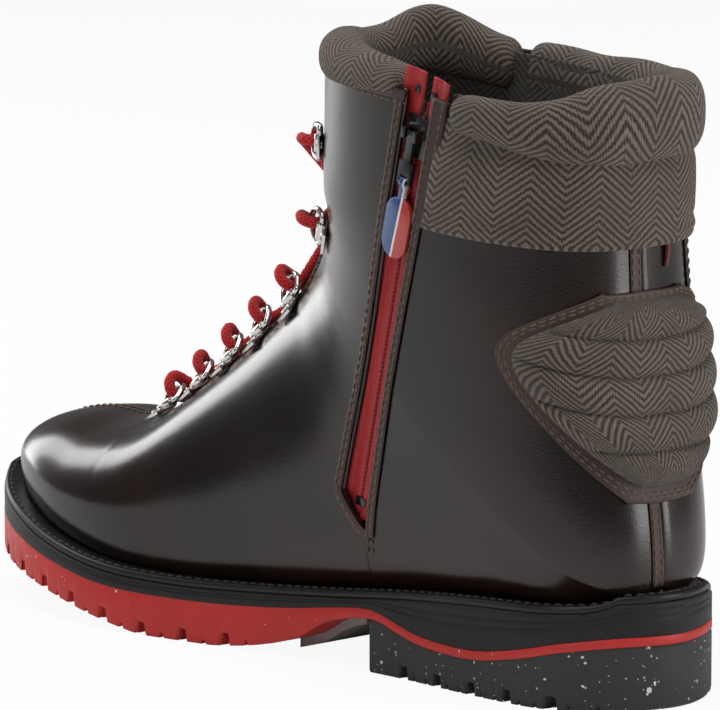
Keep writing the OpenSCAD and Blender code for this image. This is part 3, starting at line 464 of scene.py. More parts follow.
class Nodes:
    """Short names for building one material."""

    def __init__(self, name: str) -> None:
        """Starts a material with its shader and output."""
        self.material = bpy.data.materials.new(name)
        self.material.use_nodes = True
        self.tree = self.material.node_tree
        self.shader = self.tree.nodes["Principled BSDF"]

    def add(self, kind: str, **values: object) -> bpy.types.Node:
        """A node of a kind; values name its properties, or its inputs with _ for spaces."""
        node = self.tree.nodes.new(kind)
        for key, value in values.items():
            if hasattr(node, key):
                setattr(node, key, value)
            else:
                self.put(node.inputs[key.replace("_", " ")], value)
        return node

    def put(self, socket: bpy.types.NodeSocket, value: object) -> None:
        """Sets an input to a number or colour, or links it to an output."""
        if isinstance(value, bpy.types.NodeSocket):
            self.tree.links.new(value, socket)
        elif isinstance(value, tuple) and len(value) == 3 and len(getattr(socket, "default_value", ())) == 4:
            socket.default_value = (*value, 1.0)
        else:
            socket.default_value = value

    def math(self, operation: str, a: object, b: object = 0.0, clamp: bool = False) -> bpy.types.NodeSocket:
        """Result of one sum."""
        node = self.tree.nodes.new("ShaderNodeMath")
        node.operation, node.use_clamp = operation, clamp
        self.put(node.inputs[0], a)
        self.put(node.inputs[1], b)
        return node.outputs[0]

    def mix(self, share: object, a: object, b: object) -> bpy.types.NodeSocket:
        """Colour between a and b."""
        node = self.tree.nodes.new("ShaderNodeMix")
        node.data_type = "RGBA"
        self.put(node.inputs[0], share)
        self.put(node.inputs[6], a)
        self.put(node.inputs[7], b)
        return node.outputs[2]

    def ramp(self, value: object, low: float, high: float) -> bpy.types.NodeSocket:
        """Value spread from 0 at low to 1 at high, smoothly."""
        node = self.add("ShaderNodeMapRange", interpolation_type="SMOOTHSTEP")
        for k, v in enumerate((value, low, high, 0.0, 1.0)):
            self.put(node.inputs[k], v)
        return node.outputs[0]

    def place(self) -> bpy.types.NodeSocket:
        """Place in the object's own space, in metres."""
        return self.add("ShaderNodeTexCoord").outputs["Object"]

    def laid(self) -> tuple[bpy.types.NodeSocket, bpy.types.NodeSocket, bpy.types.NodeSocket]:
        """Place on the piece's own surface in millimetres, as a vector and its two numbers."""
        uv = self.add("ShaderNodeUVMap", uv_map="Surface").outputs[0]
        parts = self.add("ShaderNodeSeparateXYZ", Vector=uv)
        return uv, parts.outputs[0], parts.outputs[1]

    def noise(self, vector: object, scale: float, detail: float = 3.0,
              rough: float = 0.5) -> bpy.types.NodeSocket:
        """Cloudy noise from 0 to 1."""
        node = self.add("ShaderNodeTexNoise", Vector=vector, Scale=scale, Detail=detail, Roughness=rough)
        return node.outputs[0]

    def bump(self, height: object, distance: float, strength: float = 1.0) -> None:
        """Relief on the shader's surface, with its depth in metres."""
        node = self.add("ShaderNodeBump", Height=height, Distance=distance, Strength=strength)
        self.put(self.shader.inputs["Normal"], node.outputs["Normal"])

    def base(self, colour: object, rough: object) -> None:
        """Colour and roughness of the surface."""
        self.put(self.shader.inputs["Base Color"], colour)
        self.put(self.shader.inputs["Roughness"], rough)

    def set(self, **values: object) -> None:
        """Sets plain inputs of the shader, named with _ for spaces."""
        for key, value in values.items():
            self.put(self.shader.inputs[key.replace("_", " ")], value)


@dataclass(frozen=True)
class Leather:
    """Tanned leather: two browns in soft clouds, fine grain and a polished or waxed top."""

    name: str
    dark: Colour
    brown: Colour
    rough: float
    coat: float
    grain: float = 0.00003

    def make(self) -> bpy.types.Material:
        """Builds the material."""
        n = Nodes(self.name)
        place = n.place()
        cloud = n.ramp(n.noise(place, 16, 2), 0.38, 0.68)
        fine = n.noise(place, 950, 4, 0.6)
        pores = n.add("ShaderNodeTexVoronoi", Vector=place, Scale=1300.0).outputs["Distance"]
        rough = n.math("ADD", n.math("MULTIPLY", n.noise(place, 60, 3), 0.12), self.rough - 0.06)
        n.base(n.mix(cloud, self.dark, self.brown), rough)
        n.set(Coat_Weight=self.coat, Coat_Roughness=0.1, Specular_IOR_Level=0.5)
        n.bump(n.math("ADD", fine, n.math("MULTIPLY", pores, 0.5)), self.grain)
        return n.material


@dataclass(frozen=True)
class Herringbone:
    """Woollen tweed: slanting stripes that turn back at each column, with fuzzy yarn, and where asked painted
    shade that darkens it low down.
    """

    name: str
    dark: Colour
    light: Colour
    column: float = 11.0
    stripe: float = 2.35
    slope: float = 0.8
    painted_low_shade: bool = False

    def make(self) -> bpy.types.Material:
        """Builds the material."""
        n = Nodes(self.name)
        uv, u, v = n.laid()
        wander = n.math("MULTIPLY", n.math("SUBTRACT", n.noise(uv, 0.12, 2), 0.5), 1.6)
        zig = n.math("PINGPONG", n.math("ADD", u, wander), self.column)
        phase = n.math("DIVIDE", n.math("ADD", v, n.math("MULTIPLY", zig, self.slope)), self.stripe)
        wave = n.math("SINE", n.math("MULTIPLY", phase, TAU))
        lean = n.math("SUBTRACT", u, n.math("MULTIPLY", v, 0.25))
        yarn = n.math("SINE", n.math("MULTIPLY", lean, TAU / 0.95))
        fuzz = n.noise(uv, 1.5, 5, 0.75)
        height = n.math("ADD", n.math("MULTIPLY", wave, 0.34), n.math("MULTIPLY", yarn, 0.13))
        height = n.math("ADD", height, n.math("MULTIPLY", n.math("SUBTRACT", fuzz, 0.5), 1.8))
        share = n.ramp(height, -0.34, 0.42)
        tone = n.mix(n.ramp(n.noise(uv, 0.05, 2), 0.35, 0.7), self.light, tuple(0.8 * c for c in self.light))
        colour = n.mix(share, self.dark, tone)
        hairs = n.noise(n.add("ShaderNodeMapping", Vector=uv, Scale=(1.0, 2.6, 1.0)).outputs[0], 2.6, 3, 0.7)
        pale = tuple(min(1.3 * c, 1.0) for c in self.light)
        colour = n.mix(n.math("MULTIPLY", n.ramp(hairs, 0.6, 0.7), 0.5), colour, pale)
        # painted shade: below about 13 cm the colour goes near black, standing in for the shade deep inside
        # the boot
        if self.painted_low_shade:
            z = n.add("ShaderNodeSeparateXYZ", Vector=n.place()).outputs[2]
            colour = n.mix(n.ramp(z, 0.13, 0.185), (0.008, 0.007, 0.007), colour)
        n.base(colour, 0.95)
        n.set(Sheen_Weight=0.25, Sheen_Roughness=0.6, Specular_IOR_Level=0.15)
        n.bump(height, 0.0006, 1.0)
        return n.material


@dataclass(frozen=True)
class Rubber:
    """Moulded rubber, with or without pale recycled specks."""

    name: str
    colour: Colour
    rough: float = 0.55
    specks: float = 0.0
    speck_colour: Colour = (0.75, 0.72, 0.68)

    def make(self) -> bpy.types.Material:
        """Builds the material."""
        n = Nodes(self.name)
        place = n.place()
        colour = n.mix(n.noise(place, 30, 4), self.colour, tuple(0.7 * c for c in self.colour))
        if self.specks:
            bent = n.add("ShaderNodeVectorMath", operation="ADD")
            n.put(bent.inputs[0], place)
            cloud = n.add("ShaderNodeTexNoise", Vector=place, Scale=900.0)
            shift = n.add("ShaderNodeVectorMath", operation="SCALE")
            n.put(shift.inputs[0], cloud.outputs["Color"])
            shift.inputs["Scale"].default_value = 0.0012
            n.put(bent.inputs[1], shift.outputs[0])
            for scale, size in ((120.0, 0.19), (300.0, 0.24), (620.0, 0.24)):
                cell = n.add("ShaderNodeTexVoronoi", Vector=bent.outputs[0], Scale=scale)
                pick = n.add("ShaderNodeSeparateColor", Color=cell.outputs["Color"]).outputs[0]
                limit = n.math("MULTIPLY", n.math("POWER", pick, 3.0), size * self.specks)
                spot = n.math("LESS_THAN", cell.outputs["Distance"], limit)
                colour = n.mix(spot, colour, self.speck_colour)
        fine = n.noise(place, 700, 4, 0.6)
        n.base(colour, n.math("ADD", n.math("MULTIPLY", fine, 0.2), self.rough - 0.1))
        n.set(Specular_IOR_Level=0.4)
        n.bump(n.math("ADD", fine, n.math("MULTIPLY", n.noise(place, 120, 2), 0.6)), 0.00008)
        return n.material


@dataclass(frozen=True)
class Metal:
    """Metal with fine scratches, bare, blackened or dark."""

    name: str
    colour: Colour
    rough: float
    metallic: float = 1.0
    coat: float = 0.0

    def make(self) -> bpy.types.Material:
        """Builds the material."""
        n = Nodes(self.name)
        place = n.place()
        wear = n.noise(place, 400, 5, 0.7)
        n.base(n.mix(n.noise(place, 90, 2), self.colour, tuple(0.82 * c for c in self.colour)),
               n.math("ADD", n.math("MULTIPLY", wear, 0.16), self.rough - 0.06))
        n.set(Metallic=self.metallic, Coat_Weight=self.coat, Coat_Roughness=0.08)
        n.bump(wear, 0.00001)
        return n.material


@dataclass(frozen=True)
class Weave:
    """Plain woven or corded cloth of one colour, with painted shade in the hollows of the weave."""

    name: str
    colour: Colour
    pitch: float = 0.55
    rough: float = 0.85
    coat: float = 0.0

    def make(self) -> bpy.types.Material:
        """Builds the material."""
        n = Nodes(self.name)
        place = n.place()
        parts = n.add("ShaderNodeSeparateXYZ", Vector=place)
        rate = TAU / (self.pitch * MM)
        a = n.math("SINE", n.math("MULTIPLY", n.math("ADD", parts.outputs[0], parts.outputs[1]), rate))
        b = n.math("SINE", n.math("MULTIPLY", parts.outputs[2], rate))
        fuzz = n.noise(place, 1500, 3, 0.7)
        height = n.math("ADD", n.math("MULTIPLY", n.math("MULTIPLY", a, b), 0.5), fuzz)
        # darker in the hollows of the weave: painted shade; the fuzz adds real random tone
        share = n.ramp(height, -0.2, 1.1)
        n.base(n.mix(share, tuple(0.5 * c for c in self.colour), self.colour), self.rough)
        n.set(Sheen_Weight=0.15, Coat_Weight=self.coat, Coat_Roughness=0.25, Specular_IOR_Level=0.3)
        n.bump(height, 0.0001)
        return n.material


@dataclass(frozen=True)
class Braid:
    """Round braided cord: two sets of yarns that cross over and under, with painted shade where they sink."""

    name: str
    colour: Colour

    def make(self) -> bpy.types.Material:
        """Builds the material."""
        n = Nodes(self.name)
        _, u, v = n.laid()
        along = n.math("MULTIPLY", u, TAU / 2.6)
        turn = n.math("MULTIPLY", v, 3.0)
        a = n.math("SINE", n.math("ADD", along, turn))
        b = n.math("SINE", n.math("SUBTRACT", along, turn))
        cross = n.math("MAXIMUM", n.math("ABSOLUTE", a), n.math("ABSOLUTE", b))
        fuzz = n.noise(n.place(), 2200, 3, 0.7)
        height = n.math("ADD", cross, n.math("MULTIPLY", fuzz, 0.5))
        # darker where the yarns sink between their crossings: painted shade; the fuzz adds real random tone
        n.base(n.mix(n.ramp(height, 0.85, 1.35), tuple(0.42 * c for c in self.colour), self.colour), 0.8)
        n.set(Sheen_Weight=0.2, Specular_IOR_Level=0.3)
        n.bump(height, 0.0003, 0.8)
        return n.material


@dataclass(frozen=True)
class Enamel:
    """Hard enamel in two colours with a pale line between them, slanting across the plate."""

    name: str
    upper: Colour
    lower: Colour
    middle: tuple[float, float]
    slant: float = 0.34

    def make(self) -> bpy.types.Material:
        """Builds the material."""
        n = Nodes(self.name)
        parts = n.add("ShaderNodeSeparateXYZ", Vector=n.place()).outputs
        rise = n.math("MULTIPLY", n.math("SUBTRACT", parts[2], self.middle[1]), self.slant)
        far = n.math("ADD", n.math("SUBTRACT", self.middle[0], parts[0]), rise)
        two = n.mix(n.math("GREATER_THAN", far, 0.0), self.lower, self.upper)
        edge = n.math("LESS_THAN", n.math("ABSOLUTE", far), 0.00045)
        n.base(n.mix(edge, two, (0.8, 0.8, 0.8)), 0.25)
        n.set(Coat_Weight=0.6, Coat_Roughness=0.08)
        n.bump(n.noise(n.place(), 300, 2), 0.00002)
        return n.material


class Stuff(Enum):
    """Every finish of the boot."""

    LEATHER = Leather("polished_leather", (0.0055, 0.0026, 0.0020), (0.0170, 0.0062, 0.0041), 0.22, 0.08)
    BINDING = Leather("brown_binding", (0.040, 0.022, 0.017), (0.060, 0.034, 0.026), 0.5, 0.0, 0.00008)
    GUSSET = Leather("soft_brown_gusset", (0.045, 0.022, 0.016), (0.085, 0.045, 0.032), 0.7, 0.0, 0.00012)
    TWEED = Herringbone("herringbone_tweed", (0.013, 0.0075, 0.0055), (0.30, 0.225, 0.165))
    # the lining is the tweed again in much darker colours, near black low down: painted shade inside the boot
    LINING = Herringbone("tweed_lining_painted_shade", (0.008, 0.006, 0.005), (0.10, 0.078, 0.062), painted_low_shade=True)
    MIDSOLE = Rubber("black_rubber", (0.009, 0.009, 0.009), 0.6)
    WELT = Rubber("welt_rubber", (0.008, 0.008, 0.008), 0.42)
    OUTSOLE = Rubber("red_rubber", (0.62, 0.035, 0.03), 0.5, 0.42)
    HEEL = Rubber("speckled_rubber", (0.040, 0.040, 0.041), 0.6, 0.95)
    TREAD = Rubber("grey_rubber", (0.42, 0.40, 0.37), 0.6)
    STEEL = Metal("polished_steel", (0.72, 0.71, 0.69), 0.14)
    SHANK = Metal("spring_steel", (0.45, 0.45, 0.46), 0.35)
    BLACK_METAL = Metal("black_lacquered_metal", (0.012, 0.012, 0.012), 0.2, 0.2, 0.7)
    DARK_METAL = Metal("dark_metal", (0.055, 0.055, 0.058), 0.3, 0.85, 0.2)
    TAPE = Weave("red_zip_tape", (0.60, 0.018, 0.024), 0.6, 0.55, 0.35)
    TEETH = Weave("zip_coil", (0.26, 0.010, 0.012), 0.5, 0.5, 0.2)
    THREAD = Weave("tan_thread", (0.25, 0.17, 0.125), 0.3)
    DARK_THREAD = Weave("dark_thread", (0.06, 0.05, 0.045), 0.3)
    LACE = Braid("red_braid", (0.70, 0.022, 0.026))
    ENAMEL = Enamel("two_colour_enamel", (0.018, 0.075, 0.26), (0.50, 0.05, 0.04), (0.0675, 0.1445))
    RIBBON = Weave("grey_red_ribbon", (0.42, 0.10, 0.10), 0.5)
    FOAM = Weave("grey_foam", (0.06, 0.055, 0.05), 1.2)
    BOARD = Leather("fibre_board", (0.28, 0.20, 0.12), (0.36, 0.27, 0.17), 0.8, 0.0, 0.0001)
    STIFFENER = Leather("pressed_stiffener", (0.40, 0.36, 0.28), (0.48, 0.44, 0.36), 0.75, 0.0, 0.0001)
    FOOTBED = Weave("footbed_cloth", (0.045, 0.045, 0.048), 0.9)


class Shop:
    """Keeps the frame and the finishes, and puts each finished piece in its place."""

    def __init__(self) -> None:
        """Loads the frame."""
        self.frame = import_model()
        self.finishes: dict[Stuff, bpy.types.Material] = {}

    def finish(self, stuff: Stuff) -> bpy.types.Material:
        """The material of a finish, built once."""
        if stuff not in self.finishes:
            self.finishes[stuff] = stuff.value.make()
        return self.finishes[stuff]

    def mesh(self, name: str, form: Form) -> bpy.types.Mesh:
        """Mesh of a form, in metres, with smooth faces that point outwards."""
        mesh = bpy.data.meshes.new(name)
        loops = np.concatenate([f.ravel() for f in form.faces]).astype(np.int32)
        counts = np.concatenate([np.full(len(f), f.shape[1]) for f in form.faces])
        mesh.vertices.add(len(form.points))
        mesh.vertices.foreach_set("co", (form.points * MM).astype(np.float32).ravel())
        mesh.loops.add(len(loops))
        mesh.loops.foreach_set("vertex_index", loops)
        mesh.polygons.add(len(counts))
        starts = np.concatenate([[0], np.cumsum(counts)[:-1]]).astype(np.int32)
        mesh.polygons.foreach_set("loop_start", starts)
        mesh.polygons.foreach_set("use_smooth", np.ones(len(counts), bool))
        if form.uv is not None:
            layer = mesh.uv_layers.new(name="Surface")
            layer.data.foreach_set("uv", form.uv[loops].astype(np.float32).ravel())
        mesh.update(calc_edges=True)
        mesh.validate()
        work = bmesh.new()
        work.from_mesh(mesh)
        bmesh.ops.recalc_face_normals(work, faces=work.faces)
        work.to_mesh(mesh)
        work.free()
        return mesh

    def place(self, obj: bpy.types.Object, stuff: Stuff, slot: str, body: str, nodes: Sequence[str]) -> None:
        """Gives a piece its finish, its body and the nodes that it stands for."""
        if obj.name not in bpy.context.scene.collection.objects:
            bpy.context.scene.collection.objects.link(obj)
        obj.data.materials.clear()
        obj.data.materials.append(self.finish(stuff))
        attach(obj, body)
        if nodes:
            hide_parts(*nodes)
        LOG.info("%s: %d faces", obj.name, len(obj.data.polygons))

    def piece(self, name: str, form: Form, stuff: Stuff, slot: str, *nodes: str,
              body: str = "boot") -> bpy.types.Object:
        """Makes one piece from its form.

        Args:
            name: the piece's name.
            form: its shape.
            stuff: its finish.
            slot: the record's material slot for it; not used.
            nodes: frame nodes that it stands for.
            body: the body that it rides on.

        Returns:
            The piece.
        """
        obj = bpy.data.objects.new(name, self.mesh(name, form))
        self.place(obj, stuff, slot, body, nodes)
        return obj

    def softened(self, node: str, stuff: Stuff, slot: str, width: float,
                 body: str = "boot") -> bpy.types.Object:
        """A copy of a hard node with its edges rounded off, in place of the node."""
        mesh = self.frame["nodes"][node].data.copy()
        work = bmesh.new()
        work.from_mesh(mesh)
        bmesh.ops.remove_doubles(work, verts=work.verts, dist=1e-6)
        bmesh.ops.dissolve_limit(work, angle_limit=math.radians(1), verts=work.verts, edges=work.edges)
        work.to_mesh(mesh)
        work.free()
        mesh.polygons.foreach_set("use_smooth", np.ones(len(mesh.polygons), bool))
        obj = bpy.data.objects.new("soft_edged_" + node, mesh)
        bevel = obj.modifiers.new("Rounding", "BEVEL")
        bevel.width, bevel.segments = width * MM, 2
        bevel.limit_method, bevel.angle_limit = "ANGLE", math.radians(40)
        bevel.harden_normals = True
        self.place(obj, stuff, slot, body, (node,))
        return obj

    def dress(self, stuff: Stuff, *nodes: str) -> None:
        """Gives frame nodes that stay a finish."""
        for node in nodes:
            data = self.frame["nodes"][node].data
            data.materials.clear()
            data.materials.append(self.finish(stuff))
            LOG.info("%s dressed", node)


# ---- Sole -------------------------------------------------------------------------------

def line(points: Sequence[tuple[float, float]], n: int = 3) -> Array:
    """Side-view line through points, rounded by a Catmull-Rom curve."""
    p = np.array(points, float)
    ends = np.concatenate([[2 * p[0] - p[1]], p, [2 * p[-1] - p[-2]]])
    u = np.linspace(0, 1, n, endpoint=False)[:, None]
    parts = [spline(ends[i], ends[i + 1], ends[i + 2], ends[i + 3], u) for i in range(len(p) - 1)]
    return np.concatenate(parts + [p[-1:]])


@dataclass
class Sole:
    """Welt, midsole, red outsole and speckled heel block, one on the other."""

    shop: Shop
    welt_w: float = 7.5
    welt_t: float = 2.5
    seat_gap: float = 0.3
    board_inset: float = 4.0
    groove_w: float = 3.4
    groove_d: float = 4.0
    breast_x: float = 47.0
    front_grooves: tuple[float, ...] = (-128, -112, -96, -80, -64, -48, -32, -16)
    heel_grooves: tuple[float, ...] = (62, 78, 94, 110, 126)
    midsole_foot: tuple[tuple[float, float], ...] = (
        (-155, 34.5), (-140, 30), (-125, 26), (-95, 19.3), (-60, 14.3), (-20, 13.8), (10, 15.8), (30, 18.5),
        (47, 20.1), (60, 17), (72, 14.6), (95, 14.2), (115, 17.5), (130, 21), (145, 23), (157, 22.5))
    outsole_foot: tuple[tuple[float, float], ...] = (
        (-155, 23.5), (-140, 17.5), (-125, 14), (-95, 8.6), (-62, 2.6), (-45, 0), (-20, 0), (0, 2.5), (16, 7),
        (28, 13.5), (47, 17.1), (60, 14), (72, 11.6), (95, 11.2), (115, 14.5), (130, 18), (145, 20),
        (157, 19.5))

    def __post_init__(self) -> None:
        """Works out the featherline and the side-view lines."""
        r = LAST_ROWS
        self.feather = np.concatenate([r[HEEL_S:0:-1][:, [0, 5]], r[:1][:, [0, 4]], r[1:HEEL_S][:, [0, 6]]])
        heights = [(r[k, 0], r[1, 1] + 1.5 if k == 0 else r[k, 1]) for k in range(HEEL_S + 1)]
        top = line(heights, 4)
        self.top_line = np.concatenate([[[-170, heights[0][1] + 6]], top, [[170, heights[-1][1] + 0.5]]])
        self.mid_line, self.low_line = line(self.midsole_foot), line(self.outsole_foot)

    @staticmethod
    def height(curve: Array, x: Array | float) -> Array:
        """Height of a side-view line at x, never under the floor."""
        return np.maximum(np.interp(x, curve[:, 0], curve[:, 1]), 0.0)

    def outline(self, e: Array | float, n: int = 520) -> Array:
        """Plan outline at e outside the featherline: a closed Catmull-Rom curve, moved along its normal."""
        f, k = self.feather, len(self.feather)

        def at(t: Array) -> Array:
            """Points of the featherline."""
            i = np.floor(t).astype(int)
            return spline(f[(i - 1) % k], f[i % k], f[(i + 1) % k], f[(i + 2) % k], (t - i)[:, None])

        t = np.linspace(0, k, n, endpoint=False)
        p = at(t)
        q = unit(at(t + 0.05) - p)
        e = np.broadcast_to(e, (n,))
        return p + e[:, None] * np.stack([-q[:, 1], q[:, 0]], 1)

    def across(self, e: float, x: Array) -> tuple[Array, Array]:
        """Inner and outer y of the outline at the stations x."""
        p = self.outline(e, 1040)
        lo, hi = np.argmin(p[:, 0]), np.argmax(p[:, 0])
        one = p[np.arange(hi, hi + (lo - hi) % len(p) + 1) % len(p)]
        two = p[np.arange(lo, lo + (hi - lo) % len(p) + 1) % len(p)]
        sides = [np.interp(x, s[np.argsort(s[:, 0]), 0], s[np.argsort(s[:, 0]), 1]) for s in (one, two)]
        return np.minimum(*sides), np.maximum(*sides)

    def block(self, e: float, x: Array, across: int, top: Callable[[Array, Array], Array],
              foot: Callable[[Array, Array], Array], wall: Sequence[tuple[float, float]]) -> Form:
        """Layer of the sole over stations x, with its walls in rows.

        Args:
            e: how far its outline stands outside the featherline.
            x: stations from toe to heel.
            across: points across each station.
            top: height of the upper face at x, y.
            foot: height of the lower face at x, y.
            wall: share of the way down and distance outward of each row of the wall.

        Returns:
            The form.
        """
        m, l = self.across(e, x)
        v = (1 - np.cos(np.linspace(0, math.pi, across))) / 2
        wide = np.broadcast_to(x[:, None], (len(x), across))
        plan = np.stack([wide, lerp(m[:, None], l[:, None], v[None])], -1)
        n = len(x)
        rim = np.concatenate([np.stack([np.arange(n), np.zeros(n, int)], 1),
                              np.stack([np.full(across - 1, n - 1), np.arange(1, across)], 1),
                              np.stack([np.arange(n - 2, -1, -1), np.full(n - 1, across - 1)], 1),
                              np.stack([np.zeros(across - 2, int), np.arange(across - 2, 0, -1)], 1)])
        i, j = rim.T
        edge = plan[i, j]
        turn = np.roll(edge, -1, 0) - np.roll(edge, 1, 0)
        out = unit(np.stack([turn[:, 1], -turn[:, 0]], 1))
        zt, zf = top(plan[..., 0], plan[..., 1]), foot(plan[..., 0], plan[..., 1])
        up = np.concatenate([plan, zt[..., None]], -1)
        low = np.concatenate([plan, zf[..., None]], -1)
        up[i, j, :2] += out * wall[0][1]
        low[i, j, :2] += out * wall[-1][1]
        rows, points, base = [i * across + j], [up.reshape(-1, 3), low.reshape(-1, 3)], 2 * n * across
        for share, off in wall[1:-1]:
            z = lerp(zt[i, j], zf[i, j], share)
            points.append(np.concatenate([edge + out * off, z[:, None]], 1))
            rows.append(base + np.arange(len(rim)))
            base += len(rim)
        rows.append(n * across + i * across + j)
        faces = [grid_faces(n, across), grid_faces(n, across)[:, ::-1] + n * across]
        for a, b in zip(rows[:-1], rows[1:]):
            faces.append(np.stack([a, b, np.roll(b, -1), np.roll(a, -1)], 1))
        points = np.concatenate(points)
        return Form(points, faces, points[:, :2].copy())

    def stations(self, e: float, n: int, start: float | None = None) -> Array:
        """Stations along the boot, close together where the outline turns."""
        p = self.outline(e, 1040)
        lo, hi = p[:, 0].min() + 0.02, p[:, 0].max() - 0.02
        t = np.linspace(0, math.pi, n)
        if start is not None:
            turn = hi - 6 * np.cos(np.linspace(0, math.pi / 2, 24)) ** 2
            return np.concatenate([np.linspace(start, hi - 6, n)[:-1], turn])
        round_ = lerp(lo, hi, (1 - np.cos(t)) / 2)
        even = np.linspace(lo, hi, n)
        return np.sort(np.concatenate([round_[::2], even[1:-1]]))

    def grooves(self, x: Array, y: Array, places: Sequence[float],
                reach: float, turn: float, width: float) -> Array:
        """Depth share of the tread grooves at x, y, from 0 to 1."""
        depth = np.zeros(np.broadcast(x, y).shape)
        for x0 in places:
            for side in (-1, 1):
                a = math.radians(side * turn)
                dx, dy = x - x0, y - side * reach
                across = np.abs(dx * math.cos(a) + dy * math.sin(a))
                depth = np.maximum(depth, ease((width / 2 + 0.25 - across) / 0.5) * (side * y > 20))
        return depth

    def build(self) -> None:
        """Builds the four layers and the welt stitching."""
        shop = self.shop
        loops = [(-self.board_inset, 0.0), (2.0, 0.0), (self.welt_w - 1.4, 0.0), (self.welt_w - 0.7, -0.25),
                 (self.welt_w - 0.4, -0.9), (self.welt_w - 0.4, -self.welt_t),
                 (-self.board_inset, -self.welt_t)]
        rings = []
        for e, dz in loops:
            p = self.outline(e)
            z = self.height(self.top_line, p[:, 0]) - self.seat_gap + dz
            rings.append(np.concatenate([p, z[:, None]], 1))
        shop.piece("welt_strip", tube(np.stack(rings, 1), closed=True), Stuff.WELT, "welt_rubber", "welt")
        p = self.outline(self.welt_w - 2.4, 1400)
        p = np.concatenate([p, self.height(self.top_line, p[:, 0])[:, None] - self.seat_gap], 1)
        p = np.concatenate([p, p[:1]])
        along = unit(np.gradient(p, axis=0))
        up = np.broadcast_to([0.0, 0.0, 1.0], p.shape)
        form = thread_row(p, along, unit(np.cross(up, along)), up, 2.6, 1.1, 0.8)
        shop.piece("welt_stitches", form, Stuff.DARK_THREAD, "welt_rubber")

        under = self.seat_gap + self.welt_t
        wall = [(0, -0.35), (0.04, 0.0), (0.2, 0.0), (0.23, -0.3), (0.26, 0.0), (0.4, 0.0), (0.425, -0.22),
                (0.45, 0.0), (0.6, 0.0), (0.97, 0.0), (1, -0.15)]
        form = self.block(self.welt_w, self.stations(self.welt_w, 300), 5,
                          lambda x, y: self.height(self.top_line, x) - under - 0.02,
                          lambda x, y: self.height(self.mid_line, x) + 0.02, wall)
        shop.piece("moulded_midsole", form, Stuff.MIDSOLE, "black_rubber", "midsole")

        def red_foot(x: Array, y: Array) -> Array:
            """Lower face of the outsole with its grooves and fine sipes."""
            deep = self.grooves(x, y, self.front_grooves, 55, 12, self.groove_w)
            mids = [x0 + 8 for x0 in self.front_grooves]
            fine = self.grooves(x, y, mids, 55, 12, 1.4) * 0.35
            flat = self.height(self.low_line, x)
            room = np.maximum(self.height(self.mid_line, x) - flat - 2.4, 0)
            return flat + np.minimum(np.maximum(deep, fine) * self.groove_d, room)

        wall = [(0, -0.2), (0.06, 0.1), (0.9, 0.1), (0.97, -0.05), (1, -0.5)]
        form = self.block(self.welt_w, self.stations(self.welt_w, 560), 46,
                          lambda x, y: self.height(self.mid_line, x), red_foot, wall)
        shop.piece("red_outsole", form, Stuff.OUTSOLE, "red_rubber", "outsole")

        def heel_foot(x: Array, y: Array) -> Array:
            """Lower face of the heel block with its grooves and fine sipes."""
            deep = self.grooves(x, y, self.heel_grooves, 42, 8, self.groove_w)
            fine = self.grooves(x, y, [x0 + d for x0 in self.heel_grooves for d in (5, 11)], 42, 8, 0.9) * 0.4
            return np.maximum(deep, fine) * self.groove_d * (x > self.breast_x + 2)

        wall = [(0, -0.3), (0.06, 0.0), (0.5, 0.0), (0.95, 0.0), (1, -0.4)]
        form = self.block(self.welt_w, self.stations(self.welt_w, 240, self.breast_x), 40,
                          lambda x, y: self.height(self.low_line, x) - 0.02, heel_foot, wall)
        shop.piece("heel_lift", form, Stuff.HEEL, "heel_rubber", "heel_block")
        shop.dress(Stuff.TREAD, "arch_plate")


# ---- Upper ------------------------------------------------------------------------------

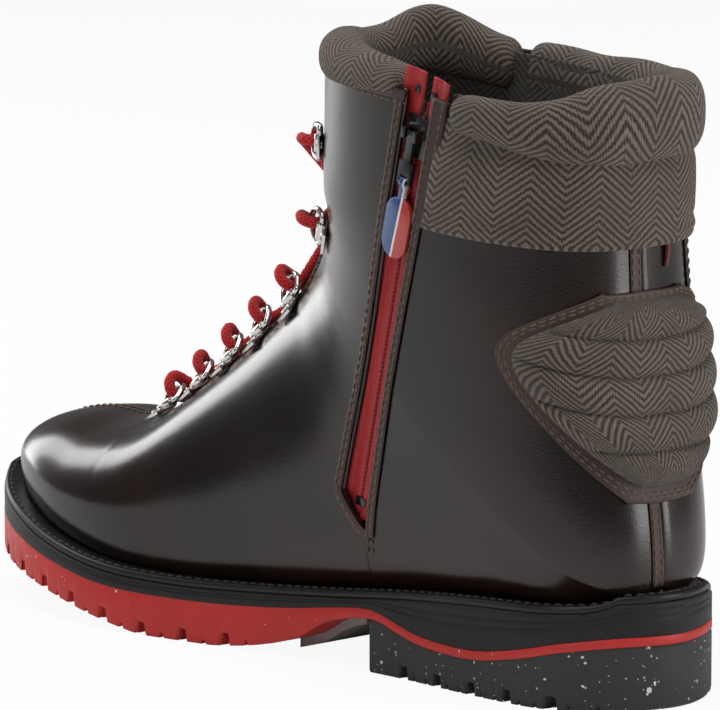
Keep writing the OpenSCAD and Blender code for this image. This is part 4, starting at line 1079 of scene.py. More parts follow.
@dataclass
class Upper:
    """Leather panels with their bound edges and seams."""

    shop: Shop
    tip_s: float = 0.08
    zip_half: float = 6.5
    edge_w: float = 3.4
    edge_t: float = 0.85

    def panels(self) -> None:
        """The five leather panels and the piece under the foot of the zip."""
        shop, t, z = self.shop, LEATHER_T, self.zip_half
        s = np.concatenate([np.linspace(self.tip_s, 1, 14)[:-1], np.linspace(1, 7.6, 70)[:-1],
                            np.linspace(7.6, 9.4, 40)[:-1], np.linspace(9.4, TOP_S, 60)])
        s = np.sort(np.concatenate([s, np.linspace(8.86, 9.04, 24)]))
        # below the zip's foot the vamp reaches across to the quarter
        close = -lerp(LAST.zip_angle(s, z), LAST.zip_angle(s, -z), ease((s - 8.88) / 0.13))
        shop.piece("inner_vamp", panel(s, -LAST.throat_angle(s, -1), close, 90, 0, -t),
                   Stuff.LEATHER, "leather", "vamp_medial")
        s = np.concatenate([np.linspace(8.3, 9.6, 60)[:-1], np.linspace(9.6, HEM_S + 0.15, 70)])
        s = s[LAST.zip_angle(s, z + 0.5) > LAST.start_angle(s, -1) + 0.2]
        hi = -np.maximum(LAST.start_angle(s, -1), 0.2)
        shop.piece("inner_quarter", panel(s, -LAST.zip_angle(s, z + 0.5), hi, 70, 0, -t),
                   Stuff.LEATHER, "leather", "quarter_medial")
        s = np.concatenate([np.linspace(self.tip_s, 1, 14)[:-1], np.linspace(1, HEM_S + 0.15, 150)])
        shop.piece("outer_quarter",
                   panel(s, LAST.heel_seam_angle(s) + 0.2, LAST.throat_angle(s, 1), 90, 0, -t),
                   Stuff.LEATHER, "leather", "quarter_lateral")
        s = np.linspace(HEM_S + 0.17, TOP_S, 24)
        shop.piece("outer_shaft",
                   panel(s, LAST.cuff_front_angle(s) + 0.5, LAST.throat_angle(s, 1), 40, 0, -t),
                   Stuff.LEATHER, "leather", "shaft_lateral")
        s = np.linspace(10.9, HEM_S + 0.15, 60)
        foot = LAST.start_angle(s, 1)
        seam = np.maximum(LAST.heel_seam_angle(s) - 0.2, foot + 1)
        shop.piece("outer_back", panel(s, np.maximum(foot, 0.2), seam, 24, 0, -t),
                   Stuff.LEATHER, "leather", "back_lateral")
        s = np.linspace(7.85, 9, 26)
        lo = -LAST.angle_on_line(s, -1, (0, 45), (100, 45))
        deep = -t - LAYER_GAP
        shop.piece("zip_foot_piece", panel(s, lo, -LAST.start_angle(s, -1), 14, deep, deep - t),
                   Stuff.LEATHER, "leather", "zip_base")

    def zip_side(self, shift: float, top: float) -> SkinPath:
        """Line beside the zip, from its foot to a height."""
        s = np.linspace(8.98, top, 120)
        return SkinPath(s, -LAST.zip_angle(s, shift))

    def edges(self) -> None:
        """Bound edges of the zip's opening and of the throat."""
        shop, z, w, t = self.shop, self.zip_half, self.edge_w, self.edge_t
        mid = z + w / 2
        front, rear = self.zip_side(-mid, TOP_S - 0.12), self.zip_side(mid, HEM_S + 0.05)
        u = np.linspace(-1, 1, 40)
        foot = SkinPath(np.full(40, 8.98) - 0.10 * (1 - u ** 6),
                        -LAST.zip_angle(np.full(40, 8.98), 0) + np.interp(
                            u, [-1, 1], [float(LAST.zip_angle(8.98, 0) - LAST.zip_angle(8.98, -mid)),
                                         float(LAST.zip_angle(8.98, 0) - LAST.zip_angle(8.98, mid))]))
        forms = [ribbon(p, w, t, 0.05) for p in (front, rear, foot)]
        shop.piece("zip_edges", Form.joined(forms), Stuff.BINDING, "brown_leather", "zip_placket")
        rows = [stitches(p, d, t) for p in (front, rear) for d in (-w / 2 + 0.75, w / 2 - 0.75)]
        rows.append(stitches(foot, 0, t))
        drop = np.linspace(8.80, 8.97, 12)
        rows += [stitches(SkinPath(drop, -LAST.zip_angle(drop, mid)), d, 0.1) for d in (-0.9, 0.9)]
        shop.piece("zip_edge_stitches", Form.joined(rows), Stuff.THREAD, "brown_leather")

        bands, rows = [], []
        for side in (-1, 1):
            s = np.linspace(THROAT_S + 0.02, TOP_S - 0.05, 160)
            inset = 2.2 / 46 * 57.3
            path = SkinPath(s, side * (LAST.throat_angle(s, side) - inset * 0.42))
            bands.append(ribbon(path, 3.0, 0.8, 0.05))
            rows.append(stitches(SkinPath(s, side * (LAST.throat_angle(s, side) - inset * 1.15)), 0, 0.12))
        a = np.linspace(-float(LAST.zip_angle(TOP_S, -z)), -float(LAST.throat_angle(TOP_S, -1)), 60)
        rim = SkinPath(np.full(60, TOP_S - 0.07), a)
        bands.append(ribbon(rim, 3.0, 0.8, 0.05))
        rows.append(stitches(SkinPath(np.full(60, TOP_S - 0.2), a), 0, 0.12))
        shop.piece("throat_edges", Form.joined(bands), Stuff.BINDING, "brown_leather", "throat_binding")
        shop.piece("throat_stitches", Form.joined(rows), Stuff.THREAD, "brown_leather")

    def seams(self) -> None:
        """Back strip, curved side seam and toe seam, each with two rows of stitches."""
        shop = self.shop
        strips, rows = [], []
        for lo, hi in ((13.12, 14.62), (16.44, HEM_S)):
            s = np.linspace(lo, hi, 60)
            path = SkinPath(s, np.full(60, -1.7))
            strips.append(ribbon(path, 4.6, 0.7, 0.0))
            rows += [stitches(path, d, 0.7) for d in (-1.4, 1.4)]
        s = np.linspace(11.05, HEM_S, 110)
        side = SkinPath(s, LAST.heel_seam_angle(s))
        strips.append(ribbon(side, 4.2, 0.7, 0.0))
        rows += [stitches(side, d, 0.7) for d in (-1.3, 1.3)]
        shop.piece("seam_strips", Form.joined(strips), Stuff.BINDING, "brown_leather")
        s = np.linspace(0.5, THROAT_S - 0.05, 80)
        ridge = SkinPath(s, np.full(80, 180.0))
        rows += [stitches(ridge, d, 0.05) for d in (-1.6, 1.6)]
        shop.piece("seam_stitches", Form.joined(rows), Stuff.THREAD, "brown_leather")

    def build(self) -> None:
        """Builds the leather and its seams."""
        self.panels()
        self.edges()
        self.seams()


# ---- Collar and pads --------------------------------------------------------------------

@dataclass
class Collar:
    """Tweed cuff, the two padded rolls, the heel pad and their leather trims."""

    shop: Shop
    zip_half: float = 6.5
    strip_w: float = 6.0
    pad_low_s: float = 14.55
    pad_top_s: float = 16.42
    trim_t: float = 1.0
    pad_t: float = 5.6
    channels: int = 5

    def inflate(self, obj: bpy.types.Object, cap: float, pressure: float = 4.0, steps: int = 20) -> None:
        """Lets a closed piece swell as stuffed cloth, no point moving further than cap metres."""
        scene = bpy.context.scene
        rest = np.empty(len(obj.data.vertices) * 3, np.float32)
        obj.data.vertices.foreach_get("co", rest)
        rest = rest.reshape(-1, 3)
        cloth = obj.modifiers.new("Stuffing", "CLOTH")
        cloth.settings.quality = 4
        cloth.settings.mass = 0.2
        cloth.settings.tension_stiffness = 18
        cloth.settings.compression_stiffness = 18
        cloth.settings.bending_stiffness = 2
        cloth.settings.use_pressure = True
        cloth.settings.uniform_pressure_force = pressure
        cloth.settings.effector_weights.gravity = 0
        cloth.collision_settings.use_collision = False
        for frame in range(1, steps + 1):
            scene.frame_set(frame)
        done = obj.evaluated_get(bpy.context.evaluated_depsgraph_get())
        moved = np.empty(len(done.data.vertices) * 3, np.float32)
        done.data.vertices.foreach_get("co", moved)
        step = moved.reshape(-1, 3) - rest
        size = np.linalg.norm(step, axis=1, keepdims=True)
        step *= np.minimum(1, cap / np.maximum(size, 1e-9))
        obj.modifiers.remove(cloth)
        obj.data.vertices.foreach_set("co", (rest + step).astype(np.float32).ravel())
        obj.data.update()
        scene.frame_set(1)

    def roll(self, name: str, node: str, lo: float, hi: float, tops: Sequence[tuple[float, float]],
             feet: Sequence[tuple[float, float]], proud: float, seed: int) -> None:
        """Padded roll along the top edge.

        Its section is a superellipse between a top and a foot height, which follow lines over
        the angle; the ends close on a quarter circle, and shallow waves crease its skin.

        Args:
            name: the piece's name.
            node: frame node it stands for.
            lo: first angle.
            hi: last angle.
            tops: angle and height of the roll's top.
            feet: angle and height of its foot.
            proud: how far it stands out over the last.
            seed: seed of its creases.
        """
        n, m = 190, 40
        u = np.linspace(0, 1, n)
        angle = lerp(lo, hi, u)
        edge = LAST.point(TOP_S, angle)
        turn = LAST.point(TOP_S, angle + 2) - LAST.point(TOP_S, angle - 2)
        inward = unit(np.stack([-turn[:, 1], turn[:, 0], np.zeros(n)], 1))
        top = np.interp(angle, *np.array(tops).T)
        foot = np.interp(angle, *np.array(feet).T)
        kernel = np.hanning(25) / np.hanning(25).sum()
        top, foot = (np.convolve(np.pad(h, 12, "edge"), kernel, "valid") for h in (top, foot))
        length = lengths(edge)
        end = np.minimum(length, length[-1] - length)
        close = np.sqrt(1 - (1 - np.clip(end / 5.0, 0, 1)) ** 2) * 0.97 + 0.03
        rng = np.random.default_rng(seed)
        a = np.linspace(0, TAU, m, endpoint=False)
        waves = np.zeros((n, m))
        for k in range(7):
            rate, tilt, shift = rng.uniform(0.06, 0.22), rng.integers(1, 3), rng.uniform(0, TAU)
            waves += np.sin(length[:, None] * rate + tilt * a[None] + shift) * 0.16
        depth = 7.4 + 0.5 * np.sin(length * 0.05 + seed)
        power = 0.82
        cx = np.sign(np.cos(a)) * np.abs(np.cos(a)) ** power
        cz = np.sign(np.sin(a)) * np.abs(np.sin(a)) ** power
        swell = close[:, None] * (1 + 0.05 * waves)
        x = 7.4 - proud + depth[:, None] * cx[None] * swell
        z = ((top + foot) / 2)[:, None] + ((top - foot) / 2)[:, None] * cz[None] * swell
        rings = edge[:, None] * [1, 1, 0] + inward[:, None] * x[..., None]
        rings[..., 2] = z
        round_ = np.linspace(0, 1, m, endpoint=False) * TAU * 8.5
        uv = np.stack(np.broadcast_arrays(length[:, None], round_[None]), -1)
        form = tube(rings, uv)
        obj = self.shop.piece(name, form, Stuff.TWEED, "tweed", node)
        self.inflate(obj, 0.0012)
        smooth = obj.modifiers.new("Smoothing", "SUBSURF")
        smooth.levels = smooth.render_levels = 1

    def cuff(self) -> None:
        """Tweed cuff with a folded hem, and the leather strip at its front."""
        shop = self.shop
        s = np.linspace(HEM_S - 0.03, 18.72, 60)
        lo = -LAST.zip_angle(s, self.zip_half + self.strip_w + 0.6)
        hi = LAST.cuff_front_angle(s) - 0.5
        v = np.linspace(0, 1, 200)
        crown = 2.7 + 0.9 * np.sin(math.pi * np.clip((s - HEM_S) / 1.5, 0, 1))
        crown -= 1.6 * ease((s - 18.05) / 0.45)
        fold, valley = (np.exp(-((s - HEM_S - far) / 0.05) ** 2) for far in (0.07, 0.22))
        hem = 0.5 * fold - 0.35 * valley
        wave = 0.18 * np.sin(v * 41)[None] * np.sin(math.pi * np.linspace(0, 1, 60))[:, None]
        form = panel(s, lo, hi, 200, (crown + hem)[:, None] + wave, 0.15)
        shop.piece("tweed_cuff", form, Stuff.TWEED, "tweed", "collar_cuff")
        s = np.linspace(HEM_S - 0.04, TOP_S + 0.02, 90)
        path = SkinPath(s, -LAST.zip_angle(s, self.zip_half + self.strip_w / 2 + 0.8))
        strip = ribbon(path, self.strip_w, 2.6, 0.1)
        shop.piece("cuff_edge_strip", strip, Stuff.BINDING, "brown_leather", "cuff_strip")
        rows = [stitches(path, d, 2.6) for d in (-1.9, 1.9)]
        shop.piece("cuff_strip_stitches", Form.joined(rows), Stuff.THREAD, "brown_leather")

    def leaf(self, grow: float, inset: float, n: int, m: int) -> tuple[Array, Array, Array, Array]:
        """Sections and angles of the leaf shape on the heel, wider by grow degrees."""
        u = np.linspace(0, 1, n)
        w = lerp(0.02, 0.98, u)
        half = 6 + 53 * np.sin(math.pi * w ** 1.22) ** 0.8 + grow
        s = lerp(self.pad_low_s + inset, self.pad_top_s - inset * 0.5, u)
        v = np.linspace(-1, 1, m)
        angle = half[:, None] * v[None]
        return np.broadcast_to(s[:, None], angle.shape), angle, np.broadcast_to(u[:, None], angle.shape), v

    def heel_pad(self) -> None:
        """Quilted pad in its leather surround, with sewn channels across it."""
        shop = self.shop
        s, angle, _, _ = self.leaf(4, -0.1, 70, 90)
        form = shell(LAST.skin(s, angle, LAYER_GAP + self.trim_t), LAST.skin(s, angle, 0.1))
        shop.piece("heel_pad_surround", form, Stuff.BINDING, "brown_leather", "heel_pad_trim")
        rows = []
        for grow, inset in ((2.6, -0.06), (0.7, -0.015)):
            s, angle, _, _ = self.leaf(grow, inset, 90, 3)
            ring_s = np.concatenate([s[:, 0], s[::-1, 2]])
            ring_a = np.concatenate([angle[:, 0], angle[::-1, 2]])
            ring = SkinPath(np.append(ring_s, ring_s[0]), np.append(ring_a, ring_a[0]))
            rows.append(stitches(ring, 0, LAYER_GAP + self.trim_t))
        shop.piece("heel_pad_stitches", Form.joined(rows), Stuff.THREAD, "brown_leather")
        s, angle, u, v = self.leaf(-2.2, 0.05, 150, 120)
        ends = np.clip(1 - np.abs(2 * u - 1) ** 7, 0, 1) ** 0.5
        crown = np.clip(1 - np.abs(v) ** 5, 0, 1)[None] ** 0.5 * ends
        slant = u + 0.05 * np.abs(v)[None] * (0.5 - u)
        rib = np.abs(np.sin(math.pi * self.channels * slant)) ** 0.42
        pucker = 0.12 * np.sin(angle * 1.1 + 9 * u) * (1 - rib)
        rise = 0.3 + (self.pad_t * crown * (0.36 + 0.64 * rib)) + pucker
        seat = LAYER_GAP + self.trim_t
        form = shell(LAST.skin(s, angle, seat + rise), LAST.skin(s, angle, seat - 0.3))
        obj = shop.piece("quilted_heel_pad", form, Stuff.TWEED, "tweed", "heel_pad")

    def rear_tag(self) -> None:
        """Folded ribbon that stands out from under the hem: a flat loop, a little bent."""
        v, w = np.linspace(0, 1, 26), np.linspace(0, 1, 8)
        root = LAST.skin(HEM_S, 9.0, 1.2)
        x = 0.4 + 8.5 * np.sin(v * math.pi * 0.5)
        z = 4.5 - 13.0 * v
        bend = 0.8 * np.sin(v * math.pi)
        way = np.array([-0.93, 0.36, 0.0])
        side = np.array([0.36, 0.93, 0.0])
        out = w[None, :, None] * (x[:, None, None] * 0.55 + 2.4) * way
        up = np.array([0, 0, 1.0])
        grid = root + out + (z[:, None] - 2.0 * w[None])[..., None] * up + bend[:, None, None] * side
        form = shell(grid + side * 0.45, grid - side * 0.45)
        self.shop.piece("rear_ribbon", form, Stuff.RIBBON, "tag_fabric", "rear_tag")

    def build(self) -> None:
        """Builds the collar and the pads."""
        z = -float(LAST.zip_angle(TOP_S, self.zip_half + 6.4))
        self.roll("rear_collar_roll", "collar_roll", z, 113.5,
                  [(z, 188.5), (z + 14, 187.5), (-50, 186.5), (-33, 188), (-18, 192), (2, 193.5), (30, 192.5),
                   (60, 192), (90, 192.5), (113.5, 195)],
                  [(z, 177), (z + 12, 174.5), (-50, 171), (-35, 168), (-10, 166), (40, 168), (80, 172),
                   (113.5, 176)],
                  5.2, 4)
        end = 360 - float(LAST.zip_angle(TOP_S, -self.zip_half - 2))
        self.roll("tongue_top_roll", "tongue_roll", 115.5, end,
                  [(115.5, 194.5), (124, 196.5), (138, 203), (150, 206), (162, 205), (174, 200.5),
                   (186, 199.5), (200, 201.5), (222, 200.5), (end - 12, 196.5), (end, 193.5)],
                  [(115.5, 178), (150, 184), (200, 186), (end, 184)], 1.6, 9)
        self.cuff()
        self.heel_pad()
        self.rear_tag()


# ---- Inside -----------------------------------------------------------------------------

@dataclass
class Inside:
    """Lining, tongue and the layers that hold the boot's shape."""

    shop: Shop
    zip_half: float = 6.5
    tongue_under: float = 14.0

    def build(self) -> None:
        """Builds the lining and tongue and dresses the hidden layers."""
        shop, z = self.shop, self.zip_half

        def deep(s: Array) -> tuple[Array, Array]:
            """Heights of the lining's two faces."""
            d = -LAST.middle_depth(s)[:, None] - LAYER_GAP
            return d, d - LINING_T

        s = np.linspace(0.5, TOP_S, 110)
        foot_in, foot_out = LAST.start_angle(s, -1), LAST.start_angle(s, 1)
        a = np.where(s < 8.1, foot_in, np.maximum(LAST.zip_angle(s, -z - 1), foot_in))
        join = LAST.angle_on_line(s, 1, (38, 20), (78, 192))
        b = np.where(s < 8.1, foot_out, np.maximum(join, foot_out))
        form = panel(s, -360 + b, -a, 110, *deep(s))
        shop.piece("front_lining", form, Stuff.LINING, "lining", "lining_front")
        s = np.linspace(8.8, TOP_S, 80)
        foot_in, foot_out = LAST.start_angle(s, -1), LAST.start_angle(s, 1)
        join = LAST.angle_on_line(s, 1, (38, 20), (78, 192))
        forms = [panel(s, -LAST.zip_angle(s, z + 1), -np.maximum(foot_in, 0.2), 40, *deep(s)),
                 panel(s, np.maximum(foot_out, 0.2), np.maximum(join, foot_out + 1) - 0.5, 40, *deep(s))]
        shop.piece("rear_lining", Form.joined(forms), Stuff.LINING, "lining", "lining_rear")

        s = np.linspace(THROAT_S - 0.4, TOP_S - 0.02, 150)
        t = np.maximum(s, THROAT_S)
        v = np.linspace(-1, 1, 70)
        fold = 0.55 * np.sin(s * 5.5)[:, None] * np.clip(np.abs(v) * 2.2 - 0.7, 0, 1)[None]
        fold = fold + 0.5 * np.sin(v * 26)[None] * np.clip(np.abs(v) * 2 - 1, 0, 1)[None]
        out = -LEATHER_T - LAYER_GAP - 0.6 + fold * 0.8
        lo = -360 + LAST.throat_angle(t, 1) - self.tongue_under
        hi = -LAST.throat_angle(t, -1) + self.tongue_under
        form = panel(s, lo, hi, 70, out, -LAST.middle_depth(s)[:, None])
        obj = shop.piece("folded_tongue", form, Stuff.GUSSET, "brown_leather", "tongue")
        shop.dress(Stuff.FOAM, "ankle_foam")
        shop.dress(Stuff.BOARD, "insole_board")
        shop.dress(Stuff.STIFFENER, "toe_puff", "heel_counter")
        shop.dress(Stuff.FOOTBED, "footbed")
        shop.dress(Stuff.SHANK, "shank")


# ---- Zip --------------------------------------------------------------------------------

@dataclass
class Zip:
    """Two tapes with their coils, the stops, the slider, its pull and the tag."""

    shop: Shop
    depth: float = 3.6
    chain_w: float = 4.4
    tape_w: float = 4.2
    tape_t: float = 0.6
    tooth: float = 1.5

    def __post_init__(self) -> None:
        """Works out the zip's own frame: X across towards the toe, Y outward, Z up."""
        a = LAST.point(9.02, -float(LAST.zip_angle(9.02, 0)))
        b = LAST.point(TOP_S - 0.1, -float(LAST.zip_angle(TOP_S - 0.1, 0)))
        self.axis = unit(b - a)
        self.out = unit(np.cross(np.cross(self.axis, [0, -1, 0]), self.axis))
        self.across = np.cross(self.out, self.axis)
        self.length = float(np.linalg.norm(b - a))
        self.start = a - self.out * self.depth

    def put(self, p: Array) -> Array:
        """Points of the zip's frame in the boot's."""
        return self.start + p[..., :1] * self.across + p[..., 1:2] * self.out + p[..., 2:] * self.axis

    def tape(self, side: int) -> Form:
        """Tape beside the coil: its face rises to a rounded lip at the middle."""
        z = np.linspace(-4, self.length + 8, 200)
        x = np.linspace(0.3, self.chain_w / 2 + self.tape_w + 1.6, 26)
        hem = 1.1 * ease((x - 4.7) / 2.0)
        lip = self.tape_t + hem + 0.42 * ease((2.6 - x) / 0.8) - 0.35 * ease((0.75 - x) / 0.45)
        ripple = 0.03 * np.sin(z * TAU / 3.1)[:, None] * np.ones(26)[None]
        face = np.stack(np.broadcast_arrays(side * x[None], lip[None] + ripple, z[:, None]), -1)
        back = np.stack(np.broadcast_arrays(side * x[None], 0.9 * hem[None], z[:, None]), -1)
        upper = z > self.length - 14
        part = 2.9 * ease((z - (self.length - 14)) / 10) * upper
        face[..., 0] += side * part[:, None] * 0.55
        back[..., 0] += side * part[:, None] * 0.55
        return shell(self.put(face), self.put(back))

    def coil(self) -> Form:
        """The closed coils: a round rod with a ridge for each tooth, under the lips."""
        forms = []
        z = np.arange(3.3, self.length - 0.5, self.tooth / 4)
        a = np.linspace(0, TAU, 12, endpoint=False)
        for side in (-1, 1):
            size = 0.5 + 0.16 * np.cos(z * TAU / self.tooth + (0 if side < 0 else math.pi))
            mid = side * (0.75 + 0.55 * ease((z - (self.length - 18)) / 10))
            x = mid[:, None] + size[:, None] * np.cos(a)[None]
            y = 0.42 + size[:, None] * 1.1 * np.sin(a)[None]
            forms.append(tube(self.put(np.stack(np.broadcast_arrays(x, y, z[:, None]), -1))))
        return Form.joined(forms)

    def build(self) -> None:
        """Builds the zip."""
        shop = self.shop
        shop.piece("zip_tape_toe_side", self.tape(1), Stuff.TAPE, "zip_tape", "zip_tape_front")
        shop.piece("zip_tape_heel_side", self.tape(-1), Stuff.TAPE, "zip_tape", "zip_tape_rear")
        shop.piece("zip_coils", self.coil(), Stuff.TEETH, "zip_teeth", "zip_chain")
        shop.softened("zip_stops", Stuff.BLACK_METAL, "zip_metal", 0.25)
        shop.softened("zip_slider", Stuff.BLACK_METAL, "zip_metal", 0.45, body="slider")
        shop.softened("zip_pull", Stuff.DARK_METAL, "pull_metal", 0.3, body="pull")
        shop.softened("pull_tag", Stuff.ENAMEL, "tag_enamel", 0.35, body="tag")


# ---- Lacing -----------------------------------------------------------------------------

@dataclass
class Lacing:
    """Rings on riveted clips and the one long lace."""

    shop: Shop
    ring_s: tuple[float, ...] = (5.05, 5.75, 6.45, 7.25, 8.5, 13.6, 17.6)
    pivot_inset: float = 3.4
    barrel_r: float = 1.9
    plate_gap: float = 0.5
    first_lift: float = 0.6
    ring_r: float = 5.2
    wire_d: float = 2.0
    leg: float = 3.5
    tilt: float = 28.0
    turn_r: float = 4.2
    over: float = 80.0
    under: float = 280.0
    low_strand: float = 1.6
    high_strand: float = 5.8
    lace_h: float = 2.4
    lace_d: float = 3.6

    def frame(self, k: int, side: int) -> tuple[Array, Array, Array, Array]:
        """Pivot of a ring, and its directions along the edge, towards the throat and outward."""
        s = self.ring_s[k]
        a = float(LAST.throat_angle(s, side))
        edge, near = LAST.point(s, side * a), LAST.point(s, side * (a - 6))
        n = LAST.normal(s, side * (a - 4))
        b = unit((edge - near) - np.dot(edge - near, n) * n)
        rise = self.plate_gap + self.barrel_r + (self.first_lift if k == 0 else 0)
        return edge - b * self.pivot_inset + n * rise, np.cross(b, n), b, n

    def ring(self, k: int, side: int) -> Form:
        """Ring of round wire: a straight bar, two legs and a half circle, with rounded corners."""
        r, c = self.ring_r, 1.3
        corner = np.linspace(0, math.pi / 2, 7)
        half = np.linspace(0, math.pi, 34)
        loop = np.concatenate([
            np.stack([np.linspace(-r + c, r - c, 12), np.zeros(12)], 1),
            np.stack([r - c + c * np.sin(corner), c - c * np.cos(corner)], 1)[1:],
            np.stack([np.full(4, r), np.linspace(c, self.leg, 4)], 1)[1:],
            np.stack([r * np.cos(half), self.leg + r * np.sin(half)], 1)[1:],
            np.stack([np.full(4, -r), np.linspace(self.leg, c, 4)], 1)[1:],
            np.stack([-r + c - c * np.cos(corner), c - c * np.sin(corner)], 1)[1:-1]])
        q, t, b, n = self.frame(k, side)
        tilt = math.radians(self.tilt)
        up, out = math.cos(tilt) * b + math.sin(tilt) * n, -math.sin(tilt) * b + math.cos(tilt) * n
        along = unit(np.roll(loop, -1, 0) - np.roll(loop, 1, 0))
        a = np.linspace(0, TAU, 14, endpoint=False)
        w = self.wire_d / 2
        x = loop[:, None, 0] + along[:, None, 1] * w * np.cos(a)[None]
        y = loop[:, None, 1] - along[:, None, 0] * w * np.cos(a)[None]
        z = w * np.sin(a)[None] * np.ones(len(loop))[:, None]
        rings = q + x[..., None] * t + y[..., None] * up + z[..., None] * out
        return tube(rings, closed=True)

    def tip(self, k: int, side: int) -> Array:
        """Outermost place of a ring's half circle."""
        q, _, b, n = self.frame(k, side)
        a = math.radians(self.tilt)
        return q + (self.ring_r + self.leg) * (math.cos(a) * b + math.sin(a) * n)

    def turn(self, k: int, side: int, start: float, end: float) -> list[Array]:
        """Points of the lace round the tip of a ring."""
        _, _, b, n = self.frame(k, side)
        w = self.tip(k, side)
        return [w + self.turn_r * (math.cos(math.radians(a)) * b + math.sin(math.radians(a)) * n)
                for a in np.linspace(start, end, 5)]

    def ridge(self, s: float, h: float) -> Array:
        """Place over the ridge."""
        return LAST.skin(s, 180.0, h)

    def route(self) -> Array:
        """Route of the lace from end to end, down through the rings and up again."""
        s, h = self.ring_s, self.lace_h
        tail = ((15.5, 104, h), (15.9, 118, h), (16.2, 134, h + 1), (16.45, 150, h + 4.5))
        path = [LAST.skin(*q) for q in tail]
        path += [self.ridge(16.8, 9.5), LAST.skin(17.1, -169, 5)]
        for k, side in ((6, -1), (5, 1), (4, -1), (3, 1), (2, -1), (1, 1)):
            path += self.turn(k, side, self.under, self.over)
            path.append(self.ridge((s[k] + s[k - 1]) / 2, self.high_strand))
        path += self.turn(0, -1, self.under, self.over) + [self.ridge(s[0], 5)]
        for k, side in ((0, 1), (1, -1), (2, 1), (3, -1), (4, 1), (5, -1)):
            path += self.turn(k, side, self.over, self.under)
            path.append(self.ridge((s[k] + s[k + 1]) / 2, self.low_strand))
        q, _, b, n = self.frame(6, 1)
        w = self.tip(6, 1)
        for a in np.radians((290, 240, 200)):
            path.append(w + self.turn_r * (math.cos(a) * b + math.sin(a) * n))
        path += [q + 2.2 * b + 5.6 * n, q - 2 * b + 5.2 * n]
        path += [LAST.skin(*e) for e in ((17.85, 128, h + 4.2), (17.9, 114, h), (17.85, 102, h))]
        return np.array(path)

    def cord(self, points: Array, size: float) -> Form:
        """Braided cord: the route rounded with a bell curve, and yarns that stand out where they cross."""
        at = lengths(points)
        t = np.arange(0, at[-1], 0.45)
        p = np.stack([np.interp(t, at, points[:, k]) for k in range(3)], 1)
        bell = np.exp(-0.5 * (np.arange(-8, 9) / 3.2) ** 2)
        bell /= bell.sum()
        lead, tail = 2 * p[0] - p[8:0:-1], 2 * p[-1] - p[-2:-10:-1]
        wide = np.concatenate([lead, p, tail])
        p = np.stack([np.convolve(wide[:, k], bell, "valid") for k in range(3)], 1)
        along = unit(np.gradient(p, axis=0))
        side = np.empty_like(p)
        side[0] = unit(np.cross(along[0], [0.3, 0.2, 1.0]))
        for i in range(1, len(p)):
            v = side[i - 1] - np.dot(side[i - 1], along[i]) * along[i]
            side[i] = v / np.linalg.norm(v)
        up = np.cross(along, side)
        far = lengths(p)
        a = np.linspace(0, TAU, 18, endpoint=False)
        one = np.abs(np.sin(far[:, None] * math.pi / 2.6 + 1.5 * a[None]))
        two = np.abs(np.sin(far[:, None] * math.pi / 2.6 - 1.5 * a[None]))
        r = size / 2 * (0.93 + 0.10 * np.maximum(one, two))
        rings = p[:, None] + side[:, None] * (r * np.cos(a))[..., None]
        rings = rings + up[:, None] * (r * np.sin(a))[..., None]
        uv = np.stack(np.broadcast_arrays(far[:, None], a[None]), -1)
        return tube(rings, uv)

    def build(self) -> None:
        """Builds rings, clips, rivets, lace and its ends."""
        shop = self.shop
        for side, letter in ((-1, "m"), (1, "l")):
            for k in range(7):
                node = f"ring_{letter}{k + 1}"
                shop.piece("wire_" + node, self.ring(k, side), Stuff.STEEL, "steel", node, body=node)
        shop.softened("ring_clips", Stuff.STEEL, "steel", 0.22)
        shop.softened("ring_rivets", Stuff.STEEL, "steel", 0.3)
        shop.piece("braided_lace", self.cord(self.route(), self.lace_d), Stuff.LACE, "lace_cord", "lace")
        shop.softened("lace_aglets", Stuff.BLACK_METAL, "steel", 0.3)


# ---- Studio -----------------------------------------------------------------------------

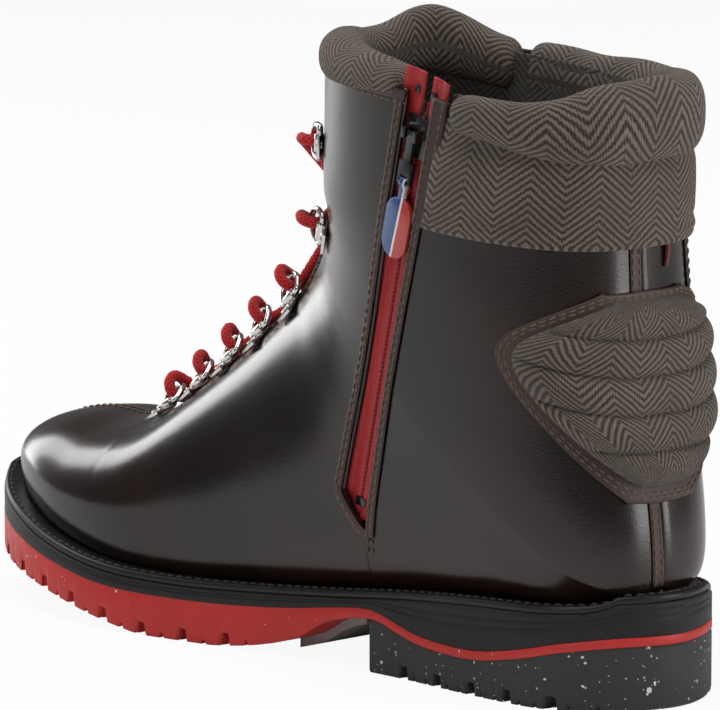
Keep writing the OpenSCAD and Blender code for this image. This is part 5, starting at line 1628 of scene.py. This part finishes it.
@dataclass
class Studio:
    """Camera, pale floor and soft lights."""

    azimuth: float = 47.0
    elevation: float = 9.0
    distance: float = 2.2
    lens_per_metre: float = 155.0
    sensor: float = 36.0
    grey: float = 0.13
    floor_glow: float = 0.93
    aim: tuple[float, float, float] = (0.0, 0.0, 0.095)
    shift: tuple[float, float] = (0.0014, -0.003)
    lamps: tuple[tuple[float, float, float, float, float, float], ...] = field(default=(
        (-92.0, 22.0, 1.7, 0.6, 1.5, 15.0), (122.0, 18.0, 1.8, 0.5, 1.5, 13.0),
        (20.0, 82.0, 2.0, 1.2, 1.2, 22.0), (12.0, 34.0, 2.6, 0.35, 0.9, 9.0)))

    @staticmethod
    def away(azimuth: float, elevation: float) -> Vector:
        """Direction from the boot to a place in the studio."""
        a, e = math.radians(azimuth), math.radians(elevation)
        return Vector((math.sin(a) * math.cos(e), -math.cos(a) * math.cos(e), math.sin(e)))

    def camera(self) -> None:
        """Long lens from behind on the inner side."""
        back = self.away(self.azimuth, self.elevation)
        a = math.radians(self.azimuth)
        right = Vector((math.cos(a), math.sin(a), 0))
        up = back.cross(right)
        data = bpy.data.cameras.new("Camera")
        data.sensor_width = self.sensor
        data.lens = self.lens_per_metre * self.distance
        data.clip_end = 100
        obj = bpy.data.objects.new("Camera", data)
        obj.location = Vector(self.aim) + right * self.shift[0] + up * self.shift[1] + back * self.distance
        obj.rotation_euler = back.to_track_quat("Z", "Y").to_euler()
        bpy.context.scene.collection.objects.link(obj)
        bpy.context.scene.camera = obj

    def floor(self) -> None:
        """Wide pale floor, with a glow of its own that only the camera sees."""
        n = Nodes("pale_floor")
        n.base((0.93, 0.93, 0.93), 0.9)
        n.set(Specular_IOR_Level=0.1)
        tree = n.material.node_tree
        glow, path, share, blend = (tree.nodes.new("ShaderNode" + kind)
                                    for kind in ("Emission", "LightPath", "Math", "MixShader"))
        share.operation = "MULTIPLY"
        share.inputs[1].default_value = self.floor_glow
        out = next(node for node in tree.nodes if node.type == "OUTPUT_MATERIAL")
        plain = out.inputs["Surface"].links[0].from_socket
        tree.links.new(path.outputs["Is Camera Ray"], share.inputs[0])
        tree.links.new(share.outputs[0], blend.inputs[0])
        tree.links.new(plain, blend.inputs[1])
        tree.links.new(glow.outputs[0], blend.inputs[2])
        tree.links.new(blend.outputs[0], out.inputs["Surface"])
        mesh = bpy.data.meshes.new("Floor")
        r = 40.0
        mesh.from_pydata([(-r, -r, 0), (r, -r, 0), (r, r, 0), (-r, r, 0)], [], [(0, 1, 2, 3)])
        mesh.materials.append(n.material)
        obj = bpy.data.objects.new("Floor", mesh)
        bpy.context.scene.collection.objects.link(obj)

    def world(self) -> None:
        """White to the camera, and a plain grey light for everything else."""
        world = bpy.data.worlds.new("Studio")
        bpy.context.scene.world = world
        world.use_nodes = True
        tree = world.node_tree
        back = tree.nodes["Background"]
        path = tree.nodes.new("ShaderNodeLightPath")
        seen = tree.nodes.new("ShaderNodeMath")
        seen.operation = "ADD"
        seen.use_clamp = True
        gloss = tree.nodes.new("ShaderNodeMath")
        gloss.operation = "MULTIPLY"
        gloss.inputs[1].default_value = 0.03
        tree.links.new(path.outputs["Is Glossy Ray"], gloss.inputs[0])
        tree.links.new(path.outputs["Is Camera Ray"], seen.inputs[0])
        tree.links.new(gloss.outputs[0], seen.inputs[1])
        mix = tree.nodes.new("ShaderNodeMix")
        mix.data_type = "RGBA"
        mix.inputs[6].default_value = (self.grey, self.grey, self.grey, 1)
        mix.inputs[7].default_value = (1, 1, 1, 1)
        tree.links.new(seen.outputs[0], mix.inputs[0])
        tree.links.new(mix.outputs[2], back.inputs["Color"])
        back.inputs["Strength"].default_value = 1.0

    def lights(self) -> None:
        """Large soft panels beside and over the boot."""
        for k, (azimuth, elevation, far, wide, high, power) in enumerate(self.lamps):
            data = bpy.data.lights.new(f"Panel{k}", "AREA")
            data.shape, data.size, data.size_y, data.energy = "RECTANGLE", wide, high, power
            obj = bpy.data.objects.new(f"Panel{k}", data)
            to = self.away(azimuth, elevation)
            obj.location = Vector((0, 0, 0.1)) + to * far
            obj.rotation_euler = to.to_track_quat("Z", "Y").to_euler()
            bpy.context.scene.collection.objects.link(obj)

    def build(self) -> None:
        """Sets the studio up."""
        scene = bpy.context.scene
        scene.view_settings.view_transform = "Standard"
        self.floor()
        self.world()
        self.lights()


def clear() -> None:
    """Empties the file's own scene."""
    for obj in list(bpy.data.objects):
        bpy.data.objects.remove(obj)


def main() -> None:
    """Builds the boot in order."""
    logging.basicConfig(level=logging.INFO, format="%(name)s %(message)s")
    clear()
    studio = Studio()
    studio.camera()
    shop = Shop()
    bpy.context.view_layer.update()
    studio.build()
    for part in (Sole, Upper, Collar, Inside, Zip, Lacing):
        LOG.info("building %s", part.__name__)
        part(shop).build()
    bpy.context.view_layer.update()


if __name__ == "__main__":
    main()
